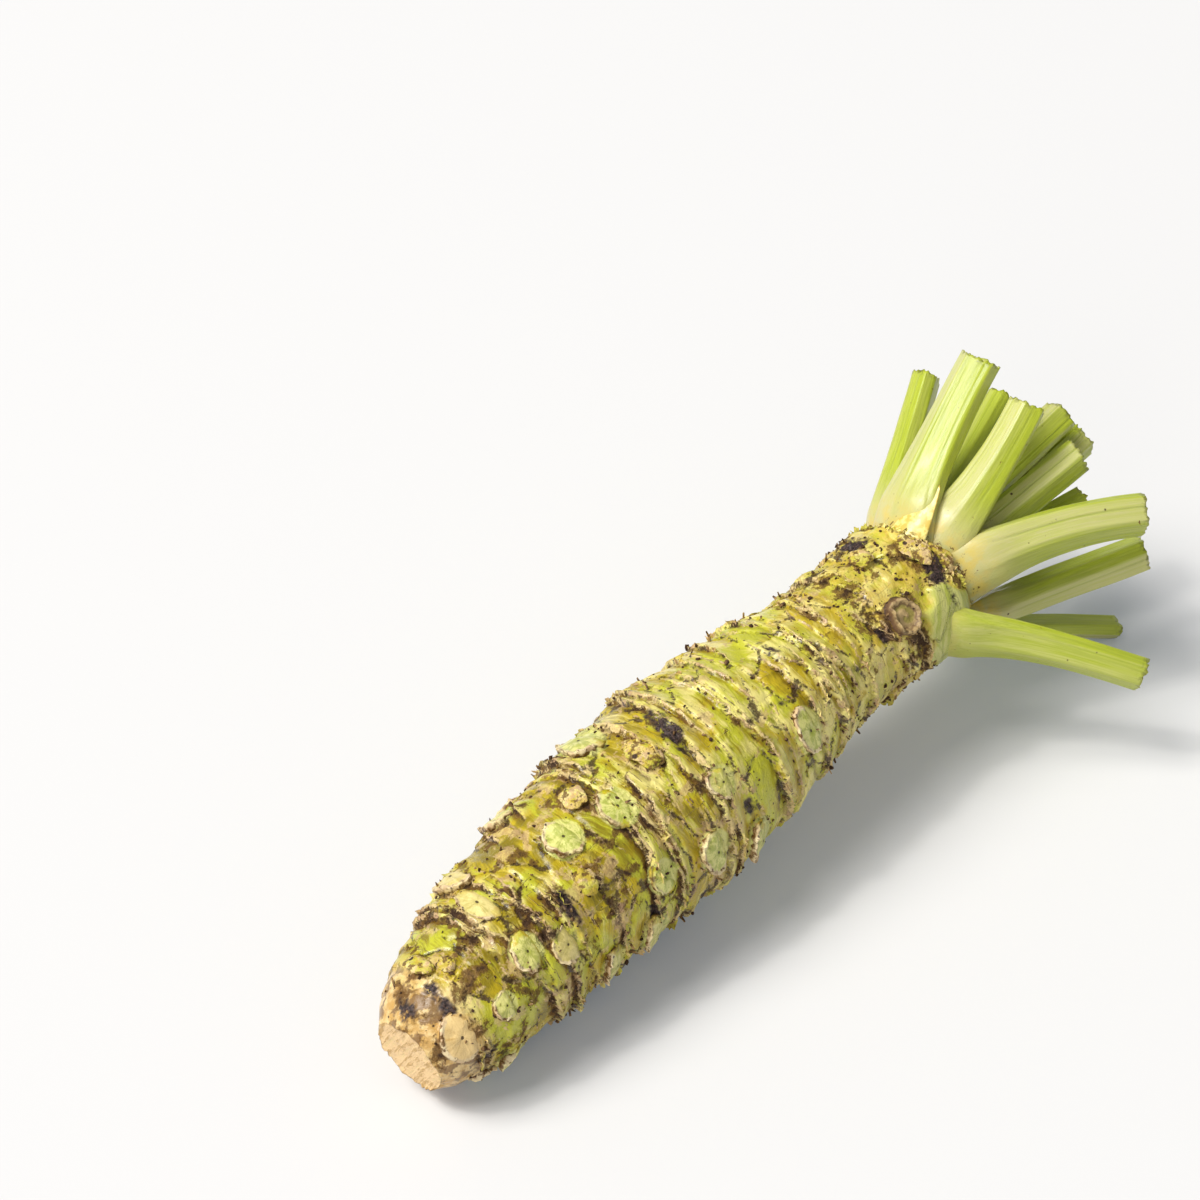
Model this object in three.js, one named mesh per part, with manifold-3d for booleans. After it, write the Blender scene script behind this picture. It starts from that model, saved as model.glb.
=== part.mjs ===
// A wasabi rhizome with its trimmed leaf stalks, lying on a surface.
// Millimetres, +Z up, +X from the cut tip towards the leaf crown. The origin is
// the bottom centre of the whole plant's box.
//
// Everything is modelled in the plant's own frame: `along` runs from the cut face
// at the tip to the crown, `out` is the distance from the rhizome's axis, and
// `turn` is the angle round it in degrees, 0 on top and growing towards -Y.
import * as THREE from 'three';
import { mergeVertices } from 'three/addons/utils/BufferGeometryUtils.js';
import Module from 'manifold-3d';

const wasm = await Module();
wasm.setup();

// The lie of the plant: it rests on its belly and on two of its leaf stalks.
const LIE_ANGLE = THREE.MathUtils.degToRad(8); // rise of the axis from tip to crown
const BELLY_FLAT_DEPTH = 0.6; // how far the belly is pressed flat where it rests
const GAP = 0.3; // clearance between neighbouring solids

// The rhizome: girth as [along, radius] from the cut face to the crown's dome.
const GIRTH = [
  [0, 7.8], [3, 10.2], [9, 13.2], [15, 14.9], [26, 16.7], [39, 17.8], [51, 18.9], [64, 19.8],
  [80, 20.0], [93, 18.9], [104, 17.6], [118, 15.7], [126, 15.2], [134, 15.7], [146, 15.6],
];
const DOME = [[149, 14.2], [152.5, 11.0], [155.5, 6.5], [157, 0]];
const CUT_FACE_RADIUS = GIRTH[0][1];
const SIDEWAYS_BOW = 3.0; // how far the axis bows towards +Y at mid length
const UPWARD_BOW = 1.5;
const SEGMENTS_ROUND = 44;

// Growth bands: old leaf nodes that step up at the tip side and slope down behind.
const FIRST_BAND = 5;
const LAST_BAND = 143;
const BAND_PITCH = 7.4;
const PITCH_VARIATION = 1.6;
const BAND_FOOT = 0.5; // below the mean radius
const BAND_CREST = 0.6; // above it
const STEP_WIDTH = 0.9; // length over which a band steps up
const BAND_LEAN = 2.2; // how far the rings lean along the axis

// Leaf scars as [along, turn, across]: oval cushions left by shed leaves.
const NEAR_SCARS = [
  [5.5, 55, 8.5], [14.5, 119, 6.5], [24.5, 42, 7], [28, -41, 9], [31.5, 57, 7], [40, 101, 8],
  [44, -50, 9], [45, 9, 8], [50.5, 103, 9], [55.5, 69, 7], [56.5, 19, 8], [64.5, -32, 10],
  [68, 80, 9], [76, 49, 7], [79.5, 100, 10], [99, 63, 8],
];
const SCAR_HEIGHT = 0.7;
const SCAR_LENGTH_RATIO = 0.75; // length along the axis over width round it
const FAR_SCAR_COUNT = 14;
const FAR_SCAR_SPACING = 7.2;
const FAR_SIDE = { middle: 218, halfWidth: 75 };
const GOLDEN_ANGLE = 137.5;

// A side bud near the neck, dried to a round knob.
const BUD = { along: 132, turn: 48, across: 7.5, height: 2.2 };

// Leaf stalks as [along, out, turn] of the base and of the cut tip, with the width
// there. The outer ring wraps the crown; the inner ones stand close round the axis.
const STALKS = [
  { base: [147, 12.0, -15], tip: [182, 33.5, -13.5], widths: [15, 9.6] },
  { base: [149.5, 12.0, 58], tip: [187.5, 28.5, 80], widths: [15, 9.2] },
  { base: [143.5, 13.0, 93], tip: [165.5, 46, 107], widths: [18, 7.6] },
  { base: [150.5, 11.4, 19], tip: [182, 26.5, 8], widths: [11.5, 7.6] },
  { base: [147.5, 11.8, -60], tip: [183, 29.5, -52], widths: [13, 7.6] },
  { base: [145, 12.4, 160], tip: [191.5, 42.5, 153], widths: [12, 6.2] },
  { base: [145, 12.4, 206], tip: [187, 40.5, 205], widths: [13.5, 7.6] },
  { base: [147, 12.0, 252], tip: [183, 30, 255], widths: [13.5, 8.0] },
  { base: [153, 6.6, 46], tip: [188, 17, 45], widths: [8, 7.4] },
  { base: [150, 12.2, 130], tip: [191, 28.5, 110], widths: [10.5, 9.2] },
  { base: [153, 6.8, -44], tip: [192, 17, -41], widths: [7.5, 6.2] },
  { base: [153.5, 6.6, -2], tip: [196.5, 11.3, 7], widths: [7.6, 7.6] },
  { base: [153, 6.6, 168], tip: [195, 11.5, 136], widths: [7, 6.0] },
  { base: [153, 6.8, 214], tip: [193, 19, 206], widths: [8, 7.0] },
  { base: [153, 6.8, 266], tip: [192, 18, 266], widths: [8, 7.2] },
  { base: [156, 1.8, 80], tip: [200, 5.2, 62], widths: [5.2, 6.4] },
  { base: [156, 2.6, 246], tip: [202, 3.6, 8], widths: [5, 5.4] },
];
const KNEE = { along: 0.5, out: 0.42 }; // where a stalk's bend pulls, from base to tip
const FLARE_POWER = 2.6; // how quickly the sheath narrows to the stalk
const STALK_THICKNESS = 0.78; // thickness over width at the tip
const SHEATH_THICKNESS = 6.2; // at the base, before it is trimmed to the crown
const STALK_SIDES = 12;
const STALK_STEPS = 8;

const rhizomeSkin = new THREE.MeshStandardMaterial({ color: 0x9a9440, roughness: 0.7, metalness: 0 });
const stalkSkin = new THREE.MeshStandardMaterial({ color: 0xb4c456, roughness: 0.5, metalness: 0 });

function radial(turn) {
  const angle = THREE.MathUtils.degToRad(turn);
  return new THREE.Vector3(0, -Math.sin(angle), Math.cos(angle));
}

function place([along, out, turn]) {
  return radial(turn).multiplyScalar(out).setX(along);
}

function girthAt(along) {
  const next = GIRTH.findIndex(([station]) => station > along);
  if (next < 1) {
    return next < 0 ? GIRTH.at(-1)[1] : CUT_FACE_RADIUS;
  }
  const [a, b] = [GIRTH[next - 1], GIRTH[next]];
  return THREE.MathUtils.mapLinear(along, a[0], b[0], a[1], b[1]);
}

// A smooth cushion that is 1 at its middle and 0 outside an oval.
function cushion(along, turn, spot) {
  const lengthwise = (along - spot.along) / (spot.across * SCAR_LENGTH_RATIO * 0.5);
  const apart = THREE.MathUtils.euclideanModulo(turn - spot.turn + 180, 360) - 180;
  const around = THREE.MathUtils.degToRad(apart) * girthAt(spot.along) / (spot.across * 0.5);
  const distance = Math.hypot(lengthwise, around);
  return 1 - THREE.MathUtils.smoothstep(distance, 0.6, 1.3);
}

function leafScars() {
  const scars = NEAR_SCARS.map(([along, turn, across]) => ({ along, turn, across, height: SCAR_HEIGHT }));
  for (let i = 0; i < FAR_SCAR_COUNT; i += 1) {
    const swing = THREE.MathUtils.euclideanModulo(i * GOLDEN_ANGLE, 2 * FAR_SIDE.halfWidth);
    const turn = FAR_SIDE.middle - FAR_SIDE.halfWidth + swing;
    const along = 12 + i * FAR_SCAR_SPACING;
    scars.push({ along, turn, across: 8, height: SCAR_HEIGHT });
  }
  return scars;
}

// Half of the rhizome's outline, from the axis at the cut face to the dome's top.
function rhizomeOutline() {
  const outline = [[0, 0], [0, CUT_FACE_RADIUS]];
  let band = FIRST_BAND;
  for (let i = 0; band < LAST_BAND; i += 1) {
    const pitch = BAND_PITCH + PITCH_VARIATION * Math.sin(2.4 * i);
    const crest = band + STEP_WIDTH;
    const slope = band + 0.55 * pitch;
    outline.push([band, girthAt(band) - BAND_FOOT]);
    outline.push([crest, girthAt(crest) + BAND_CREST]);
    outline.push([slope, girthAt(slope) + 0.3 * BAND_CREST]);
    band += pitch;
  }
  outline.push(...GIRTH.slice(-1), ...DOME);
  return outline.map(([along, radius]) => new THREE.Vector2(radius, along));
}

function solidOf(geometry) {
  geometry.deleteAttribute('normal');
  geometry.deleteAttribute('uv');
  const merged = mergeVertices(geometry);
  const vertProperties = new Float32Array(merged.getAttribute('position').array);
  const triVerts = new Uint32Array(merged.getIndex().array);
  return new wasm.Manifold(new wasm.Mesh({ numProp: 3, vertProperties, triVerts }));
}

function geometryOf(solid) {
  const { vertProperties, triVerts } = solid.getMesh();
  const geometry = new THREE.BufferGeometry();
  geometry.setAttribute('position', new THREE.BufferAttribute(vertProperties, 3));
  geometry.setIndex(new THREE.BufferAttribute(triVerts, 1));
  geometry.computeVertexNormals();
  return geometry;
}

// A trim can leave a loose crumb beside the piece; only the piece is kept.
function largestPiece(solid) {
  return solid.decompose().sort((a, b) => b.volume() - a.volume())[0];
}

// The lathe turns round +Y; its vertices go to the plant's frame and take on the
// lean of the bands, the scars, the bud, an uneven roundness and the axis's bow.
function rhizomeSolid(grow) {
  const spots = [...leafScars(), BUD];
  const geometry = new THREE.LatheGeometry(rhizomeOutline(), SEGMENTS_ROUND);
  const position = geometry.getAttribute('position');
  for (let i = 0; i < position.count; i += 1) {
    const radius = Math.hypot(position.getX(i), position.getZ(i));
    const angle = Math.atan2(position.getX(i), position.getZ(i));
    const turn = THREE.MathUtils.radToDeg(angle);
    let along = position.getY(i);
    const free = THREE.MathUtils.smoothstep(along, 2, 20) * (1 - THREE.MathUtils.smoothstep(along, 125, 146));
    along += free * BAND_LEAN * Math.sin(angle + 0.02 * along + 2.0);
    let out = radius * (1 + 0.02 * free * Math.sin(2 * angle + 0.06 * along));
    if (radius > 0) {
      out += grow;
      for (const spot of spots) {
        out += spot.height * cushion(along, turn, spot);
      }
    }
    const bow = Math.sin(Math.PI * Math.min(1, Math.max(0, along / 150)) ** 0.8);
    const grownAlong = along + grow * Math.sign(along - 1);
    const point = radial(turn).multiplyScalar(out).setX(grownAlong);
    point.y += SIDEWAYS_BOW * bow;
    point.z += UPWARD_BOW * bow;
    position.setXYZ(i, point.x, point.y, point.z);
  }
  return solidOf(geometry);
}

// A stalk leaves the crown along the axis and bends outwards to its cut tip. Its
// section is flat-oval, broad at the sheathing base and slimmer at the tip.
function stalkSolid({ base, tip, widths }, grow) {
  const start = place(base);
  const end = place(tip);
  const kneeAlong = THREE.MathUtils.lerp(base[0], tip[0], KNEE.along);
  const kneeOut = THREE.MathUtils.lerp(base[1], tip[1], KNEE.out);
  const knee = place([kneeAlong, kneeOut, base[2]]);
  const path = new THREE.QuadraticBezierCurve3(start, knee, end);
  const geometry = new THREE.CylinderGeometry(1, 1, 1, STALK_SIDES, STALK_STEPS);
  const position = geometry.getAttribute('position');
  for (let i = 0; i < position.count; i += 1) {
    const t = position.getY(i) + 0.5;
    const forward = path.getTangent(t);
    const outward = radial(THREE.MathUtils.lerp(base[2], tip[2], t));
    const across = forward.clone().cross(outward).normalize();
    const thick = across.clone().cross(forward);
    const flare = (1 - t) ** FLARE_POWER;
    const halfWidth = 0.5 * THREE.MathUtils.lerp(widths[1], widths[0], flare) + grow;
    const tipHalf = 0.5 * STALK_THICKNESS * widths[1];
    const baseHalf = 0.5 * Math.min(SHEATH_THICKNESS, widths[0] * STALK_THICKNESS);
    const halfThick = THREE.MathUtils.lerp(tipHalf, baseHalf, flare) + grow;
    const point = path.getPoint(t);
    point.addScaledVector(across, position.getX(i) * halfWidth);
    point.addScaledVector(thick, position.getZ(i) * halfThick);
    point.addScaledVector(forward, grow * Math.sign(t - 0.5));
    position.setXYZ(i, point.x, point.y, point.z);
  }
  return solidOf(geometry);
}

// The surface that the plant lies on, as a slab in the plant's own frame.
function surfaceSlab(depthBelowAxis) {
  const size = 600;
  const slab = new THREE.BoxGeometry(size, size, size);
  slab.translate(0, 0, -0.5 * size - depthBelowAxis);
  slab.rotateY(LIE_ANGLE);
  return solidOf(slab);
}

// Height of the cut face's centre over the lowest point of a solid, as it lies.
function depthOf(solid) {
  const geometry = geometryOf(solid);
  geometry.rotateY(-LIE_ANGLE);
  geometry.computeBoundingBox();
  return -geometry.boundingBox.min.z;
}

function namedMesh(name, solid, material) {
  const mesh = new THREE.Mesh(geometryOf(solid), material);
  mesh.name = name;
  return mesh;
}

const wholeRhizome = rhizomeSolid(0);
const restDepth = depthOf(wholeRhizome) - BELLY_FLAT_DEPTH;
const surface = surfaceSlab(restDepth);
const plant = new THREE.Group();
plant.add(namedMesh('rhizome', wholeRhizome.subtract(surface), rhizomeSkin));

const rhizomeWithClearance = rhizomeSolid(GAP);
const grownStalks = [];
STALKS.forEach((stalk, index) => {
  let solid = stalkSolid(stalk, 0).subtract(rhizomeWithClearance).subtract(surface);
  for (const neighbour of grownStalks) {
    solid = solid.subtract(neighbour);
  }
  const name = `leaf_stalk_${String(index + 1).padStart(2, '0')}`;
  plant.add(namedMesh(name, largestPiece(solid), stalkSkin));
  grownStalks.push(stalkSolid(stalk, GAP));
});

// Lay the plant down and bring the bottom centre of its box to the origin.
const lain = new THREE.Group();
plant.rotation.y = -LIE_ANGLE;
lain.add(plant);
const box = new THREE.Box3().setFromObject(lain, true);
const middle = box.getCenter(new THREE.Vector3());
lain.position.set(-middle.x, -middle.y, -box.min.z);

export default lain;
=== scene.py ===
import math

import bmesh
import bpy
import numpy as np
from mathutils import Matrix, Vector, noise


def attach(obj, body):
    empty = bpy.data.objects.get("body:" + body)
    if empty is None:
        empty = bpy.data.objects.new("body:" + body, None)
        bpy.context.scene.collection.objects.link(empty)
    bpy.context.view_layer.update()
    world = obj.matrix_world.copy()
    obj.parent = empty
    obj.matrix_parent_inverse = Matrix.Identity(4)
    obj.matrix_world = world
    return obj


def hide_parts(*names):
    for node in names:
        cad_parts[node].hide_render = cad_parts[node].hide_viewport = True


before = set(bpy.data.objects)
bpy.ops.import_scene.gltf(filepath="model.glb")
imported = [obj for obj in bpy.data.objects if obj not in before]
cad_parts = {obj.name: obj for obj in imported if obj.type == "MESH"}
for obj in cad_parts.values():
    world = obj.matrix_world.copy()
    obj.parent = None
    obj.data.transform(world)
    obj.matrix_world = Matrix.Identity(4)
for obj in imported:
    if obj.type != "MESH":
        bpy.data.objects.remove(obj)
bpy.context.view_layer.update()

# The lie of the plant. It rests on its belly and on two of its leaf stalks, so its
# axis climbs from the cut tip to the crown. Every place on it is given by how far
# along the axis it is, how far out from it, and the angle round it from the top.
MM = 0.001
LIE_ANGLE = math.radians(8)
CUT_FACE = (-99.607, 7.191, 12.4425)
LENGTH = 150.0
SIDEWAYS_BOW = 3.0
UPWARD_BOW = 1.5
LOWEST = 0.04


def lay(along, across, up):
    """Points of the plant's own frame, in millimetres, as it lies, in metres."""
    x = along * math.cos(LIE_ANGLE) - up * math.sin(LIE_ANGLE) + CUT_FACE[0]
    z = along * math.sin(LIE_ANGLE) + up * math.cos(LIE_ANGLE) + CUT_FACE[2]
    return np.stack([x, across + CUT_FACE[1], np.maximum(z, LOWEST)], -1) * MM


def settle(along, out, angle):
    """Points round the bowed axis, in millimetres and radians, as it lies, in metres."""
    along, out, angle = np.broadcast_arrays(along, out, angle)
    bow = np.sin(np.pi * np.clip(along / LENGTH, 0, 1) ** 0.8)
    return lay(along, SIDEWAYS_BOW * bow - out * np.sin(angle), UPWARD_BOW * bow + out * np.cos(angle))


# The rhizome: one thick stem that grew as a stack of leaf nodes, each stepping up at
# its tip side and sloping down behind. Shed leaves left raised oval scars on it, and
# dried buds and root stubs left knobs. Its tip is cut flat with a knife.
GIRTH = [
    (0, 7.8), (3, 10.2), (9, 13.2), (15, 14.9), (20, 15.7), (26, 16.6), (31, 17.2), (39, 17.7),
    (45, 18.3), (51, 18.8), (58, 19.3), (64, 19.7), (74, 20.0), (80, 19.9), (86, 19.5), (93, 18.9),
    (98, 18.4), (104, 17.5), (112, 16.4), (118, 15.6), (126, 15.1), (131, 15.4), (136, 15.6),
    (146, 15.6), (149, 14.2), (152.5, 11.0), (155.5, 6.5), (157, 0.0),
]
ROWS_ON_CUT = 18
ROWS_ON_STEM = 372
ROWS_ON_DOME = 23
DOME_FOOT = 148.9
DOME_TOP = 157.0
CUT_EDGE_SHARE = 0.985
COLUMNS = 240
MEAN_RADIUS = 17.0
TURN = 2 * math.pi


def girth_at(along):
    return np.interp(along, *zip(*GIRTH))


def wrap(angle):
    """The same angle between minus half a turn and half a turn."""
    return (angle + math.pi) % TURN - math.pi


def round_noise(rng, knots, angle):
    """Smooth random values round a circle, from -1 to 1, with that many knots."""
    values = rng.uniform(-1, 1, knots)
    position = (angle % TURN) / TURN * knots
    low = np.floor(position).astype(int)
    blend = position - low
    blend = blend * blend * (3 - 2 * blend)
    return values[low % knots] * (1 - blend) + values[(low + 1) % knots] * blend


def surface_noise(along, angle, size, seed, stretch=1.0):
    """Gradient noise on the stem's skin, with lumps of that size in millimetres,
    drawn out round the stem by the stretch."""
    radius = MEAN_RADIUS / (size * stretch)
    x = along / size + seed
    y = radius * np.sin(angle)
    z = radius * np.cos(angle)
    points = np.stack(np.broadcast_arrays(x, y, z), -1)
    flat = [noise.noise(point) for point in points.reshape(-1, 3).tolist()]
    return np.array(flat).reshape(points.shape[:-1])


def ease(value, low, high):
    """0 below low, 1 above high and smooth between them; high may be the lower."""
    t = np.clip((value - low) / (high - low), 0, 1)
    return t * t * (3 - 2 * t)


STEM_SEED = 11
rng = np.random.default_rng(STEM_SEED)
column_angle = np.linspace(0, TURN, COLUMNS + 1)

FIRST_BAND = 7.0
LAST_BAND = 147
BAND_PITCH = 6.6
PITCH_VARIATION = 1.9
BAND_SLOPE_LENGTH = 7.0
SKIN_DEPTH = 0.7
FAR_BEHIND = 12.0
FAR_GAP = 9.0
PART_BANDS = 40
bands = []
station = FIRST_BAND
while station < LAST_BAND:
    calm = (1 - 0.5 * ease(station, 112, 134)) * (1 - 0.6 * ease(station, 20, 6))
    bands.append({
        "station": station, "sway": rng.uniform(1.0, 4.2), "twist": rng.uniform(0.2, 1.4),
        "height": rng.uniform(0.55, 1.10) * calm, "middle": 0.0, "reach": None,
    })
    station += BAND_PITCH + rng.uniform(-1, 1) * PITCH_VARIATION
for i in range(PART_BANDS):
    bands.append({
        "station": rng.uniform(10, 143), "sway": rng.uniform(1.0, 5.0), "twist": rng.uniform(0.2, 1.0),
        "height": rng.uniform(0.35, 0.8), "middle": rng.uniform(0, TURN), "reach": rng.uniform(0.5, 1.4),
    })
for band in bands:
    edge = band["station"] + band["sway"] * np.cos(column_angle - rng.uniform(0, TURN))
    edge = edge + band["twist"] * np.cos(2 * column_angle - rng.uniform(0, TURN))
    ragged = 0.6 * round_noise(rng, 22, column_angle) + 0.30 * round_noise(rng, 60, column_angle)
    band["edge"] = edge + ragged + 0.25 * round_noise(rng, 115, column_angle)
    strength = round_noise(rng, 8, column_angle) + 0.4 * round_noise(rng, 24, column_angle)
    band["rise"] = band["height"] * np.clip(0.65 + 1.0 * strength, 0.02, 1.5)
    if band["reach"]:
        away = np.abs(wrap(column_angle - band["middle"]))
        band["rise"] = band["rise"] * ease(away, band["reach"], 0.4 * band["reach"])

# The skin between the bands is made of overlapping plates, drawn out round the stem,
# each with its own tone and its own slant of fibres.
PLATE_COUNT = 200
PLATE_STRETCH = 2.7
plate_along = rng.uniform(3, 150, PLATE_COUNT)
plate_angle = rng.uniform(0, TURN, PLATE_COUNT)
plate_tone = rng.uniform(0, 1, PLATE_COUNT)
plate_slant = rng.uniform(-0.35, 0.35, PLATE_COUNT)


def plate_marks(along, angle):
    """Distance to the edge of the nearest plate, the place in it, its tone and fibres."""
    warped = along + 1.6 * surface_noise(along, angle, 9.0, 21.0)
    warped = warped + 0.5 * surface_noise(along, angle, 2.2, 23.0)
    turned = angle + 0.12 * surface_noise(along, angle, 8.0, 25.0)
    turned = turned + 0.04 * surface_noise(along, angle, 2.2, 27.0)
    nearest, off_along, off_round, edge = (np.zeros(along.shape, t) for t in (int, float, float, float))
    for row in range(len(along)):
        across = wrap(turned[row, :, None] - plate_angle) * MEAN_RADIUS / PLATE_STRETCH
        length = warped[row, :, None] - plate_along
        distance = np.hypot(length, across)
        order = np.argpartition(distance, 1, axis=1)[:, :2]
        pair = np.take_along_axis(distance, order, 1)
        first = order[np.arange(len(order)), np.argmin(pair, axis=1)]
        nearest[row] = first
        edge[row] = 0.5 * np.abs(pair[:, 1] - pair[:, 0])
        off_along[row] = np.take_along_axis(length, first[:, None], 1)[:, 0]
        off_round[row] = np.take_along_axis(across, first[:, None], 1)[:, 0] * PLATE_STRETCH
    flow = warped + plate_slant[nearest] * off_round
    return edge, off_along, plate_tone[nearest], flow


# Leaf scars: along, angle in degrees, across, length, lift at the tip side, how tan.
SCARS = [
    (5.8, 55, 9.2, 7.6, 1.7, 1.0), (14.5, 119, 7.2, 6.0, 1.7, 0.1), (15.5, 59, 5.2, 4.4, 0.3, 0.1),
    (24.5, 42, 7.2, 6.2, 0.5, 0.1), (25, -5, 9.5, 5.5, 0.3, 0.5), (28, -41, 9.5, 7.0, 1.5, 0.6),
    (31.5, 57, 6.6, 6.0, 0.6, 0.5), (40, 101, 8.0, 6.2, 1.5, 0.2), (44, -50, 9.0, 7.0, 1.4, 0.3),
    (45, 9, 7.8, 7.0, 0.6, 0.0), (50.5, 103, 8.6, 6.6, 1.6, 0.2), (55.5, 69, 7.0, 6.0, 0.9, 0.0),
    (56.5, 19, 7.8, 6.6, 0.9, 0.0), (64.5, -32, 11.0, 8.0, 1.7, 0.1), (68, 80, 8.4, 7.2, 1.3, 0.0),
    (76, 49, 6.6, 6.0, 0.5, 0.2), (79.5, 100, 9.5, 7.0, 2.0, 0.1), (99, 63, 9.4, 6.8, 0.5, 0.0),
]
FAR_SCARS = 22
FAR_SIDE = (148, 142)
GOLDEN_SHARE = 0.618
for i in range(FAR_SCARS):
    turn = FAR_SIDE[0] + FAR_SIDE[1] * (i * GOLDEN_SHARE % 1)
    across = rng.uniform(6.5, 9.0)
    SCARS.append((11 + 5.0 * i, turn, across, 0.85 * across, rng.uniform(0.4, 1.7), rng.uniform(0, 0.3)))

# Knobs: along, angle in degrees, across, length and height of each dried bud or stub.
KNOBS = [
    (10, -17, 6.4, 3.6, 1.0), (12.5, 6, 3.4, 2.8, 0.9), (52.5, -4, 5.4, 4.6, 0.8), (68.5, 7, 7.6, 5.2, 1.0),
    (42, 38, 5.0, 3.8, 0.9), (148, 31, 6.4, 4.6, 0.8), (145, 15, 8.0, 5.0, 0.6), (95, 150, 6, 5, 1.2),
    (60, 220, 6, 6, 1.2), (118, 200, 5, 5, 1.4), (84, 275, 6, 5, 1.2), (30, 190, 5, 5, 1.2),
    (136, -8, 5.0, 4.0, 1.1),
]
BUD = (132, 48, 8.0, 7.4, 2.1)

# Dark patches where the skin has blackened: along, angle, across, length.
STAINS = [
    (75.5, 3, 12.0, 3.2), (105, 3, 7.0, 2.0), (79, 73, 4.0, 2.0), (8, 7, 3.8, 2.6),
    (2.8, -8, 4.0, 3.8), (51, 0, 3.6, 1.8), (20, -12, 3.5, 1.6), (97.5, 38, 2.2, 2.2), (139.5, -31, 7, 4.5),
    (145.0, 42, 9.0, 3.4), (146.5, 20, 8.0, 1.8), (65, 119, 6.0, 3.6), (36, 40, 5.0, 2.6),
    (90, 240, 8, 5), (55, 180, 6, 4),
    (122, 250, 6, 4), (36, 280, 6, 3), (70, 300, 7, 3), (7, 30, 4.0, 2.6), (9, 90, 4.0, 3.0),
    (126, 48, 3.4, 2.0), (51, 84, 5.0, 2.4), (12, 140, 6.0, 3.0),
]
STAIN_TILT = 0.15

# Smooth remains of old leaf bases, still wrapped round the neck.
OLD_LEAVES = [(142.5, 84, 21, 13.5), (143, -120, 16, 9), (141, 190, 18, 9)]


def oval(along, angle, spot_along, spot_turn, across, length, tilt=0.0):
    """Distance from a spot on the skin, 1 on its oval outline, and how far up it."""
    off_along = along - spot_along
    off_across = wrap(angle - math.radians(spot_turn)) * girth_at(spot_along)
    a = off_along * math.cos(tilt) + off_across * math.sin(tilt)
    b = off_across * math.cos(tilt) - off_along * math.sin(tilt)
    return np.hypot(a / (0.5 * length), b / (0.5 * across)), a


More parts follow.
